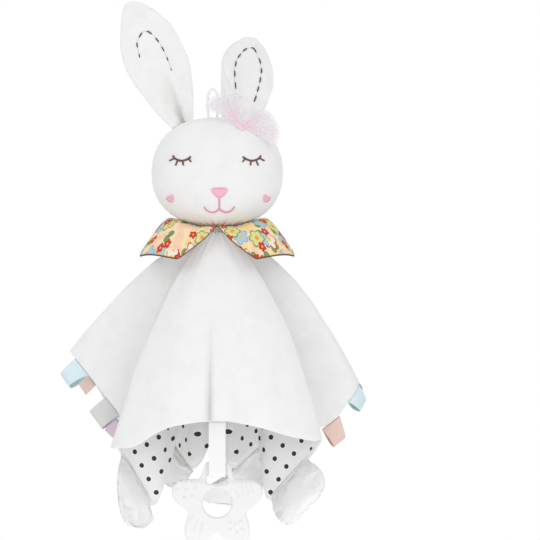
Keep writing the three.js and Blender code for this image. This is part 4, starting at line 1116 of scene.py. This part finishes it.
# Each paw: its two corners in the hem, the way it hangs, its gap to the hem, the way across
# its free end where that is turned, and its share of the length
paws = {
    "paw_front_right": ("front_right_outer", "front_right_inner", (0.38, -0.74, -0.52), 1.15, None, 1.0),
    "paw_front_left": (
        "front_left_inner", "front_left_outer", (0.12, -0.3, -1.05), 1.15, (-0.42, -0.88, 0.1), 1.06),
    "paw_back_right": ("back_right_inner", "back_right_outer", (-0.5, -0.1, -0.85), 1.15, (-1, 0, 0.1), 1.12),
    "paw_back_left": ("back_left_outer", "back_left_inner", (-0.5, 0.75, -0.25), 0.45, None, 1.0),
}
over, height = np.meshgrid(
    np.sin(np.linspace(-1, 1, paw_columns + 1) * math.pi / 2),
    1 - (1 - np.linspace(0, 1, paw_rows + 1)) ** 1.3,
)
for name, (first, last, way, gap, hung, longer) in paws.items():
    start, end = hem_frame(first)[0], hem_frame(last)[0]
    across = (end - start) / np.linalg.norm(end - start)
    down = np.array(way) / np.linalg.norm(way)
    down = down - across * (down @ across) * 0.25
    down /= np.linalg.norm(down)
    lengthwise = np.sin(math.pi * np.minimum(height * 0.9 + 0.09, 1)) ** 0.6
    plump = np.sqrt(np.clip(1 - over**4, 0, 1)) * lengthwise
    width = through(paw_heights, paw_widths, height)
    middle = (start + end) / 2 + down * (gap + height * paw_long * longer)[..., None]
    level = (across if hung is None else np.array(hung)) - across
    turned = across + level * (height**2 * (3 - 2 * height))[..., None]
    turned /= np.linalg.norm(turned, axis=-1)[..., None]
    middle = middle + turned * (over * paw_wide * width / 2)[..., None]
    out = np.cross(turned, down)
    rise = out / np.linalg.norm(out, axis=-1)[..., None] * (plump * paw_thick / 2)[..., None]
    paw, sewn = cover(name, middle + rise, middle - rise, middle, over, height)
    stuff(paw, sewn, paw_pressure, paw_growth, paw_swell)
    paw.data.materials.append(white_velour)
    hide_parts(name)
    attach(paw, "blanket")

# Ribbon tags: five colours of satin ribbon down each side, each a strip folded in half,
# its two ends caught in the hem.
tag_wide, tag_long, tag_open, tag_gap = 18.0, 17.5, 5.0, 1.0
ribbons = {
    "yellow": ((0.92, 0.72, 0.28, 1), (0.80, 0.56, 0.18, 1)),
    "grey": ((0.70, 0.70, 0.70, 1), (0.58, 0.58, 0.58, 1)),
    "mint": ((0.72, 0.86, 0.89, 1), (0.55, 0.75, 0.80, 1)),
    "peach": ((0.86, 0.64, 0.57, 1), (0.76, 0.52, 0.44, 1)),
    "lilac": ((0.68, 0.54, 0.66, 1), (0.56, 0.42, 0.54, 1)),
}
# The way that a tag points where it is pressed to one side, and how far its loop stands open
pressed = {
    "left_mint": (-0.74, 0.1, -0.67), "left_peach": (-0.43, 0.75, -0.4), "left_grey": (-0.76, 0, -0.64),
    "left_lilac": (-0.3, 0.62, -0.7), "right_grey": (0.6, 0.4, -0.65), "right_lilac": (-0.3, 0.85, -0.4),
    "right_mint": (0.3, 0.75, -0.6), "right_peach": (0.3, 0.35, -0.8),
}
opened = {"left_mint": 12.0, "left_grey": 8.0, "right_mint": 8.0, "right_peach": 14.0}
# How far a tag's free end is turned, and how far it is sewn from its place along the hem
tag_turns = {"left_mint": -0.9, "left_grey": -0.35, "right_mint": 1.5, "right_peach": 1.3}
tag_slips = {"left_mint": 1.4, "left_peach": 2.5, "right_mint": -2.5}


def satin(name, colour, dark):
    """Woven satin: fine floats along the ribbon and a firm edge at each side."""
    material, tree, shader = new_finish(name, 0.42, in_Anisotropic=0.5)
    floats = noise(tree, cloth_places(tree, (3200, 420, 1)), in_Scale=1.0, in_Detail=2.0)
    coloured(tree, shader, blended(tree, ranged(tree, floats, 0.1, 0.5), dark, colour))
    raised(tree, shader, floats, 0.25, 0.0001)
    return material


def out_of_line(line):
    """Square to a strip's line, out of its upper face."""
    run = ways_along(line)
    return np.stack([run[:, 1], -run[:, 0]], axis=1)


def woven_strip(name, sides, wide, length):
    """A strip of ribbon or webbing from its two faces, closed along its edges and ends."""
    rows, columns = sides[0].shape[:2]
    count = rows * columns
    faces = sheet_faces(rows, columns) + sheet_faces(rows, columns, count, True)
    rim = list(range(columns)) + [r * columns + columns - 1 for r in range(1, rows)]
    rim += [count - 1 - c for c in range(1, columns)] + [r * columns for r in range(rows - 2, 0, -1)]
    faces += [(a, a + count, b + count, b) for a, b in zip(rim, rim[1:] + rim[:1])]
    strip = made_of(name, np.concatenate([s.reshape(-1, 3) for s in sides]), faces)
    flat = np.stack(np.meshgrid(wide, length), axis=-1).reshape(-1, 2)
    lay_flat(strip, np.concatenate([flat, flat]))
    weld(strip, 0.001)
    return strip


tag_finish = {colour: satin(colour + "_ribbon", *tones) for colour, tones in ribbons.items()}
for side in ("left", "right"):
    for colour in ribbons:
        at, along, down, out = hem_frame(f"{side}_{colour}")
        away = np.array(pressed.get(f"{side}_{colour}", down + np.array((0, 0, -0.25))), float)
        away /= np.linalg.norm(away)
        face = np.cross(away, along)
        face /= np.linalg.norm(face)
        at = at + along * tag_slips.get(f"{side}_{colour}", 0.0)
        free = along + np.array((0, tag_turns.get(f"{side}_{colour}", 0.0), 0))
        free /= np.linalg.norm(free)
        half = opened.get(f"{side}_{colour}", tag_open) / 2
        line = np.concatenate([
            bezier((tag_gap, 0.45), (tag_long * 0.4, half), (tag_long, half * 1.6), (tag_long, 0), 28),
            bezier((tag_long, 0), (tag_long, -half * 1.6), (tag_long * 0.4, -half), (tag_gap, -0.45), 28)[1:],
        ])
        square = out_of_line(line)
        over = np.linspace(-1, 1, 25)
        edge_roll = 1 + 0.35 * np.exp(-((1 - np.abs(over)) * 14) ** 2)
        sides = []
        for hand in (1, -1):
            flat = line[:, None] + hand * 0.16 * edge_roll[None, :, None] * square[:, None]
            share = np.clip(flat[..., :1] / tag_long, 0, 1) ** 0.6
            across = (along + (free - along) * share) * (over * tag_wide / 2)[None, :, None]
            sides.append(at + away * flat[..., :1] + face * flat[..., 1:] + across)
        name = f"tag_{side}_{colour}"
        tag = woven_strip(name, sides, over * tag_wide / 2, lengths_along(line))
        tag.data.materials.append(tag_finish[colour])
        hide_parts(f"tag_{side}_{colour}")
        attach(tag, "blanket")

# Strap: white cotton webbing out of the middle of the front hem, through the teether's
# slot and back, both ends caught in the hem.
strap_wide, strap_thick, strap_caught, strap_behind, strap_slack = 12.6, 1.0, 0.9, 1.75, 0.6
strap_side, strap_drop, bar_thick = 5.0, 40.4, 5.0
hem_at = (hem_frame("strap_left")[0] + hem_frame("strap_right")[0]) / 2
slot_top = hem_at[2] - strap_drop
strap_top = hem_at[2] + strap_caught
strap_low = slot_top - strap_slack - strap_thick / 2
strap_knee = strap_top - 7
strap_turn = strap_low + strap_side
out_of_hem = [
    (-0.55, strap_top), (-0.6, strap_knee), (-strap_side, strap_knee), (-strap_side, strap_top - 17)
]
under_bar = [
    (-strap_side, strap_turn), (-strap_side, strap_low + 1.6), (-3.6, strap_low), (-bar_thick / 2, strap_low)
]
down_side = np.concatenate([
    bezier(*out_of_hem, 20),
    [(-strap_side, strap_top - 20), (-strap_side, strap_low + 8)],
    bezier(*under_bar, 14),
    [(-1.2, strap_low), (0, strap_low)],
])
line = np.concatenate([down_side, (down_side * (-1, 1))[::-1][1:]])
square = out_of_line(line)
over = np.linspace(-1, 1, 33)
edge_roll = 1 - 0.55 * np.clip((np.abs(over) - 0.9) / 0.1, 0, 1) ** 2
sides = []
for hand in (1, -1):
    flat = line[:, None] + hand * 0.45 * edge_roll[None, :, None] * square[:, None]
    behind = strap_behind * np.exp(-(((strap_top - flat[..., 1]) / 4) ** 2))
    sides.append(np.stack([
        np.broadcast_to(hem_at[0] + over * strap_wide / 2, flat.shape[:2]),
        hem_at[1] + behind + flat[..., 0], flat[..., 1]], axis=-1))
strap = woven_strip("strap", sides, over * strap_wide / 2, lengths_along(line))


def webbing(name, light, dark):
    """Cotton webbing in a twill of fine slanted ribs."""
    material, tree, shader = new_finish(name, 0.85)
    uv = node(tree, "ShaderNodeUVMap", uv_map="cloth").outputs["UV"]
    twill = node(tree, "ShaderNodeTexWave", bands_direction="DIAGONAL", in_Vector=uv)
    set_up(tree, twill, in_Scale=330.0, in_Distortion=0.6, in_Detail_Scale=3.0)
    coloured(tree, shader, blended(tree, twill.outputs["Fac"], dark, light))
    raised(tree, shader, twill.outputs["Fac"], 0.5, 0.0002)
    return material


strap.data.materials.append(webbing("strap_cotton", (0.90, 0.90, 0.90, 1), (0.85, 0.85, 0.855, 1)))
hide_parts("strap")
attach(strap, "strap")

# Teether: a star moulded in one piece of near-white plastic, with a round hole, a slot for
# the strap under its cut-off top arm, nubs on one arm, slanted ridges on the next and faint
# ribs down the two lower ones.
star_reach, star_waist, star_thick, star_round, star_hole = 35.2, 22.5, 8.0, 1.6, 10.8
star_drop, slot_long, slot_high, bar_high = 20.6, 16.0, 6.8, 9.5
slot_round, bar_soft = 2.2, 2.2
star_at = np.array((hem_at[0], hem_at[1], slot_top - star_drop))


def drawn(curve, points):
    spline = curve.splines.new("POLY")
    spline.points.add(len(points) - 1)
    spline.points.foreach_set("co", np.column_stack([
        np.asarray(points) * 0.001, np.zeros(len(points)), np.ones(len(points))]).ravel())
    spline.use_cyclic_u = True


turn = np.linspace(0, 2 * math.pi, 361)[:-1]
reach = star_waist + (star_reach - star_waist) * ((1 + np.cos(5 * turn)) / 2) ** 0.85
outline = np.stack([-np.sin(turn) * reach, np.cos(turn) * reach], axis=1)
bar_top = star_drop + bar_high
outline[:, 1] = bar_top - np.logaddexp(0, (bar_top - outline[:, 1]) * bar_soft) / bar_soft
flat_curve = bpy.data.curves.new("star_outline", "CURVE")
flat_curve.dimensions, flat_curve.fill_mode = "2D", "BOTH"
flat_curve.extrude = (star_thick / 2 - star_round) * 0.001
flat_curve.bevel_depth, flat_curve.bevel_resolution = star_round * 0.001, 5
flat_curve.offset = -star_round * 0.001
drawn(flat_curve, outline)
drawn(flat_curve, np.stack([np.cos(-turn[::3]) * star_hole, np.sin(-turn[::3]) * star_hole], axis=1))
corner = np.linspace(0, math.pi / 2, 8)
slot_line = []
for k, (sx, sz) in enumerate(((1, 1), (-1, 1), (-1, -1), (1, -1))):
    for a in corner + k * math.pi / 2:
        slot_line.append((
            sx * (slot_long / 2 - slot_round) + math.cos(a) * slot_round,
            star_drop - slot_high / 2 + sz * (slot_high / 2 - slot_round) + math.sin(a) * slot_round,
        ))
drawn(flat_curve, slot_line[::-1])
star = bpy.data.objects.new("teether_star", flat_curve)
scene.collection.objects.link(star)
bpy.context.view_layer.update()
star_mesh = bpy.data.meshes.new_from_object(star.evaluated_get(bpy.context.evaluated_depsgraph_get()))
bpy.data.objects.remove(star)
star = bpy.data.objects.new("teether_star", star_mesh)
star_mesh.name = "teether_star"
scene.collection.objects.link(star)
weld(star, 0.01)
points = places_of(star)
thin = np.clip((points[:, 1] - (star_drop - slot_high)) / (slot_high * 0.6), 0, 1)
thin = thin * thin * (3 - 2 * thin)
points[:, 2] *= 1 + (bar_thick / star_thick - 1) * thin
move_to(star, star_at + np.stack([points[:, 0], -points[:, 2], points[:, 1]], axis=1))
weld(star, 0.01)
star_mesh.polygons.foreach_set("use_smooth", [True] * len(star_mesh.polygons))
smoothed = star.modifiers.new("even_shading", "WEIGHTED_NORMAL")
smoothed.weight, smoothed.keep_sharp = 90, False
as_mesh(star)


def moulded(name, colour):
    """Matt moulded plastic with the faintest orange peel."""
    material, tree, shader = new_finish(name, 0.38, in_Base_Color=colour, in_Subsurface_Weight=0.08)
    shader.inputs["Subsurface Radius"].default_value = (0.003, 0.003, 0.003)
    place = node(tree, "ShaderNodeTexCoord").outputs["Object"]
    wear = noise(tree, place, in_Scale=60.0, in_Detail=4.0)
    set_up(tree, shader, in_Roughness=ranged(tree, wear, 0.0, 1.0, 0.32, 0.48))
    raised(tree, shader, noise(tree, place, in_Scale=420.0, in_Detail=2.0), 0.08, 0.0003)
    return material


moulded_plastic = moulded("moulded_plastic", (0.81, 0.81, 0.815, 1))
nub_half, nub_rise, ridge_half, ridge_rise, star_face = 2.2, 0.8, 1.0, 0.55, star_thick / 2
nubs = [(-27.9, 14.7), (-21.1, 15.3), (-29.7, 9.0), (-22.9, 9.0), (-16.6, 10.3), (-23.9, 3.2), (-18.4, 4.2)]
small_nubs = [(9.2, -15.3), (13.4, -16.8), (17.6, -14.7), (9.7, -20.0), (18.7, -20.0), (15.0, -22.6)]
ridges = [
    ((14.2, 9.5), (16.1, 4.2)), ((16.6, 16.0), (19.7, 4.7)), ((19.9, 16.3), (23.2, 5.8)),
    ((23.6, 14.7), (26.8, 7.4)), ((-18.5, -10.5), (-20.5, -15.5)), ((-14.5, -13.5), (-17.0, -20.5)),
    ((-10.5, -15.5), (-12.5, -23.5)),
]
moulded_nubs, given = node_group(
    "moulded_nubs", Places="Geometry", Nub_radius="Float", Finish="Material"
)
bead = node(moulded_nubs, "GeometryNodeMeshUVSphere", in_Segments=24, in_Rings=16)
set_up(moulded_nubs, bead, in_Radius=given["Nub radius"])
soft = node(moulded_nubs, "GeometryNodeSetShadeSmooth", in_Geometry=bead.outputs["Mesh"])
spread_out = node(moulded_nubs, "GeometryNodeInstanceOnPoints", in_Points=given["Places"])
set_up(moulded_nubs, spread_out, in_Instance=soft.outputs[0])
made_real(moulded_nubs, spread_out, given["Finish"])
for face, side in ((-1, "front"), (1, "back")):
    for kind, places, half in (("nubs", nubs, nub_half), ("small_nubs", small_nubs, nub_half * 0.75)):
        level = face * (star_face + nub_rise - half)
        relief = made_of(f"teether_{kind}_{side}", star_at + np.array([(x, level, z) for x, z in places]))
        grown(relief, moulded_nubs, Nub_radius=half * 0.001, Finish=moulded_plastic)
        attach(relief, "teether")
    level = face * (star_face + ridge_rise - ridge_half)
    lines = [smooth_line([(x, level, z) for x, z in line], 10) + star_at for line in ridges]
    ribs = threads(f"teether_ridges_{side}", lines, ridge_half, moulded_plastic, 16)
    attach(ribs, "teether")
star.data.materials.append(moulded_plastic)
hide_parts("teether_star")
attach(star, "teether")

# Collar: a ring of printed cotton with four pointed wings, slipped over the neck on top of
# the blanket. Its outer edges have a dark line of stitching.
collar_inner, collar_thick, collar_reach, collar_front, collar_notch = 9.6, 0.9, 58.5, 48.0, 14.0
collar_span, collar_lift, side_notch, back_sharp = 19.0, 0.3, 0.95, 8
collar_rim, collar_rim_gap = 9.0, 1.3
reach_steps = [0, 0.2, 0.4, 0.57, 0.8, 1]
side_heights = [0, 0.2, 0.42, 0.24, -0.3, -0.97]
back_heights = [0, 0.18, 0.45, 0.53, -0.14, -0.95]
front_heights = [0, 0, -0.35, -0.85, -1.7, -2.4]
outline_turns = [-90, -52, -10, 0, 10, 52, 90, 128, 170, 180, 190, 232, 270]
wing = [collar_notch, collar_front, collar_reach, collar_reach * side_notch, collar_reach, collar_front]
outline_reach = [wing[i % 6] for i in range(13)]
collar_rows, collar_columns = 30, 288
collar_top = neck_at[2] - ring_drop + collar_lift + collar_thick
turn = -90 + np.arange(collar_columns) / collar_columns * 360
reach = np.interp(turn, outline_turns, outline_reach)
share = np.linspace(0, 1, collar_rows + 1)[:, None]
distance = collar_inner + (reach - collar_inner) * share
along_reach = (distance - collar_inner) / (collar_reach - collar_inner)
turn = np.radians(turn)
sideways = np.cos(turn) ** 2
backward = (1 + np.tanh(np.sin(turn) * back_sharp)) / 2
height = (
    through(reach_steps, side_heights, along_reach) * sideways * (1 - backward)
    + through(reach_steps, back_heights, along_reach) * sideways * backward
    + through(reach_steps, front_heights, along_reach) * (1 - sideways)
)
level = collar_top + height * collar_span - collar_thick / 2
spread_x, spread_y = np.cos(turn) * distance, np.sin(turn) * distance
chin_share = 1 - (np.abs(spread_y) / head_deep) ** head_depth_square
chin_share = np.clip(chin_share, 0, 1) ** (head_square / head_depth_square)
chin_share = np.clip(chin_share - (np.abs(spread_x) / head_wide) ** head_square, 0, 1)
chin_skin = head_middle[2] - head_fall * chin_share ** (1 / head_square) - collar_rim_gap
level += np.clip(chin_skin - level, 0, None) * np.exp(-(((distance - collar_inner) / collar_rim) ** 2))
collar_skin = np.stack([neck_at[0] + spread_x, neck_at[1] + spread_y, level], axis=-1)
collar_faces = sheet_faces(collar_rows + 1, collar_columns, 0, True, True)
collar = made_of("collar", collar_skin.reshape(-1, 3), collar_faces)
lay_flat(collar, np.stack([spread_x, spread_y], axis=-1).reshape(-1, 2))
note(collar, "from_edge", (reach - distance).ravel())
wall = collar.modifiers.new("cloth", "SOLIDIFY")
wall.thickness, wall.offset, wall.material_offset = collar_thick * 0.001, 0, 1
red, cream, yellow = (0.62, 0.05, 0.035, 1), (0.88, 0.82, 0.68, 1), (0.85, 0.55, 0.08, 1)
lime, orange, edge_brown = (0.72, 0.74, 0.30, 1), (0.88, 0.34, 0.10, 1), (0.16, 0.08, 0.04, 1)
blue, deep_blue = (0.40, 0.62, 0.74, 1), (0.22, 0.42, 0.60, 1)
green, dark_green = (0.20, 0.33, 0.10, 1), (0.08, 0.16, 0.05, 1)
warm_ground = [
    (0.32, (0.92, 0.72, 0.52, 1)), (0.44, (0.92, 0.60, 0.40, 1)), (0.52, (0.93, 0.78, 0.52, 1)),
    (0.60, (0.92, 0.66, 0.26, 1)), (0.70, (0.91, 0.84, 0.71, 1)),
]
# Each kind of leaf or flower: how far apart in mm, its seed, its petals, its reach, how deeply
# it is lobed and its tones from the middle out
print_kinds = [
    (12.5, 1, 2, 0.34, 0.75,
     [(0, dark_green), (0.05, dark_green), (0.09, green), (0.30, green), (0.33, dark_green)]),
    (19.0, 2, 5, 0.36, 0.4, [(0, yellow), (0.09, yellow), (0.11, cream), (0.29, cream), (0.32, red)]),
    (18.0, 3, 5, 0.33, 0.35, [(0, yellow), (0.08, yellow), (0.1, blue), (0.27, blue), (0.31, deep_blue)]),
    (19.0, 6, 6, 0.33, 0.3, [(0, orange), (0.08, orange), (0.11, lime), (0.26, lime), (0.29, green)]),
    (13.0, 5, 5, 0.24, 0.35, [(0, yellow), (0.05, yellow), (0.07, red), (0.2, red)]),
]


def scattered(tree, under, apart, seed, petals, inner, sway, tones):
    """One kind of leaf or flower scattered over what is printed already."""
    place = cloth_places(tree, (1000 / apart, 1000 / apart, 1), (seed * 3.17, seed * 5.31, 0))
    cells = node(tree, "ShaderNodeTexVoronoi", voronoi_dimensions="2D", in_Vector=place)
    cells = set_up(tree, cells, in_Scale=1.0, in_Randomness=0.75).outputs
    local = node(tree, "ShaderNodeVectorMath", operation="SUBTRACT", in_0=place, in_1=cells["Position"])
    parts = node(tree, "ShaderNodeSeparateXYZ", in_Vector=local.outputs["Vector"]).outputs
    pick = node(tree, "ShaderNodeSeparateColor", in_Color=cells["Color"]).outputs
    spin = maths(tree, "MULTIPLY_ADD", pick["Red"], 6.28, maths(tree, "ARCTAN2", parts["Y"], parts["X"]))
    wave = maths(tree, "COSINE", maths(tree, "MULTIPLY", spin, petals / 2))
    rim = maths(tree, "MULTIPLY_ADD", maths(tree, "ABSOLUTE", wave), sway, 1 - sway)
    share = maths(tree, "DIVIDE", cells["Distance"], rim)
    within = maths(tree, "LESS_THAN", share, inner)
    shown = maths(tree, "MULTIPLY", within, maths(tree, "GREATER_THAN", pick["Green"], 0.3))
    return blended(tree, shown, under, toned(tree, share, tones))


def printed(name):
    """Cotton with a scattered print of small flowers and leaves on a blotched warm ground."""
    material, tree, shader = new_finish(name, 0.85)
    uv = node(tree, "ShaderNodeUVMap", uv_map="cloth").outputs["UV"]
    shown = toned(tree, noise(tree, uv, in_Scale=60.0, in_Detail=1.0), warm_ground)
    for kind in print_kinds:
        shown = scattered(tree, shown, *kind)
    near = node(tree, "ShaderNodeAttribute", attribute_name="from_edge").outputs["Fac"]
    edging = ranged(tree, near, 0.3, 0.7, 1.0, 0.0)
    coloured(tree, shader, blended(tree, edging, shown, edge_brown))
    raised(tree, shader, noise(tree, uv, in_Scale=2400.0, in_Detail=1.0), 0.3, 0.0001)
    return material


collar.data.materials.append(printed("printed_cotton"))
reverse = spun("print_reverse", (0.86, 0.82, 0.78, 1), (0.80, 0.76, 0.71, 1), 0.85, 0.1)
collar.data.materials.append(reverse)
as_mesh(collar)
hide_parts("collar")
collar_area = 0.5 * float(np.sum(reach**2) * math.radians(360 / collar_columns))
collar_area = (collar_area - math.pi * collar_inner**2) * 1e-6
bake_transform(collar)

# Stage: a plain pale floor well under the hanging toy, two soft lamps above it on either side,
# one in front and a weak one under its hem, pale surroundings, and the camera straight in front.
floor_half, floor_level = 1500, -600
floor_corners = [
    (x * floor_half, y * floor_half, floor_level) for x, y in ((-1, -1), (1, -1), (1, 1), (-1, 1))
]
floor = made_of("floor", floor_corners, [(0, 1, 2, 3)])
floor.data.materials.append(new_finish("floor_paint", 0.9, in_Base_Color=(0.85, 0.85, 0.85, 1))[0])
world = bpy.data.worlds.new("surroundings")
scene.world = world
world.use_nodes = True
sky = world.node_tree
glow = set_up(sky, sky.nodes["Background"], in_Color=(1, 1, 1, 1), in_Strength=0.8)
plain = node(sky, "ShaderNodeBackground", in_Color=(1, 1, 1, 1), in_Strength=1.0)
ray = node(sky, "ShaderNodeLightPath").outputs
seen = maths(sky, "MAXIMUM", ray["Is Camera Ray"], ray["Is Glossy Ray"])
seen = maths(sky, "MAXIMUM", seen, ray["Is Transmission Ray"])
either = node(sky, "ShaderNodeMixShader", in_0=seen, in_1=glow.outputs[0], in_2=plain.outputs[0])
sky.links.new(either.outputs[0], sky.nodes["World Output"].inputs["Surface"])
# Each lamp: where it hangs, the height it is aimed at, its size and its power
for name, at, aimed, size, power in (
    ("key", (-0.9, -1.5, 0.75), -0.15, 0.9, 4.0),
    ("fill", (0.9, -1.4, 0.8), -0.15, 0.9, 3.4),
    ("front", (0.1, -2.4, -0.2), -0.15, 1.4, 4.0),
    ("low", (0.02, -0.12, -0.58), -0.3, 0.3, 0.45),
):
    lamp = bpy.data.lights.new(name, "AREA")
    lamp.shape, lamp.size, lamp.energy = "SQUARE", size, power
    hung = bpy.data.objects.new(name, lamp)
    scene.collection.objects.link(hung)
    hung.location = at
    aim = np.array((0.0, 0.0, aimed)) - at
    hung.rotation_euler = Vector(aim).to_track_quat("-Z", "Y").to_euler()
lens = bpy.data.cameras.new("camera")
lens.sensor_width, lens.lens = 36, 426.6
camera = bpy.data.objects.new("camera", lens)
scene.collection.objects.link(camera)
camera.location = (0.043, -4.8, -0.136)
camera.rotation_euler = (math.radians(90), 0, 0)
scene.camera = camera
scene.view_settings.view_transform = "Standard"
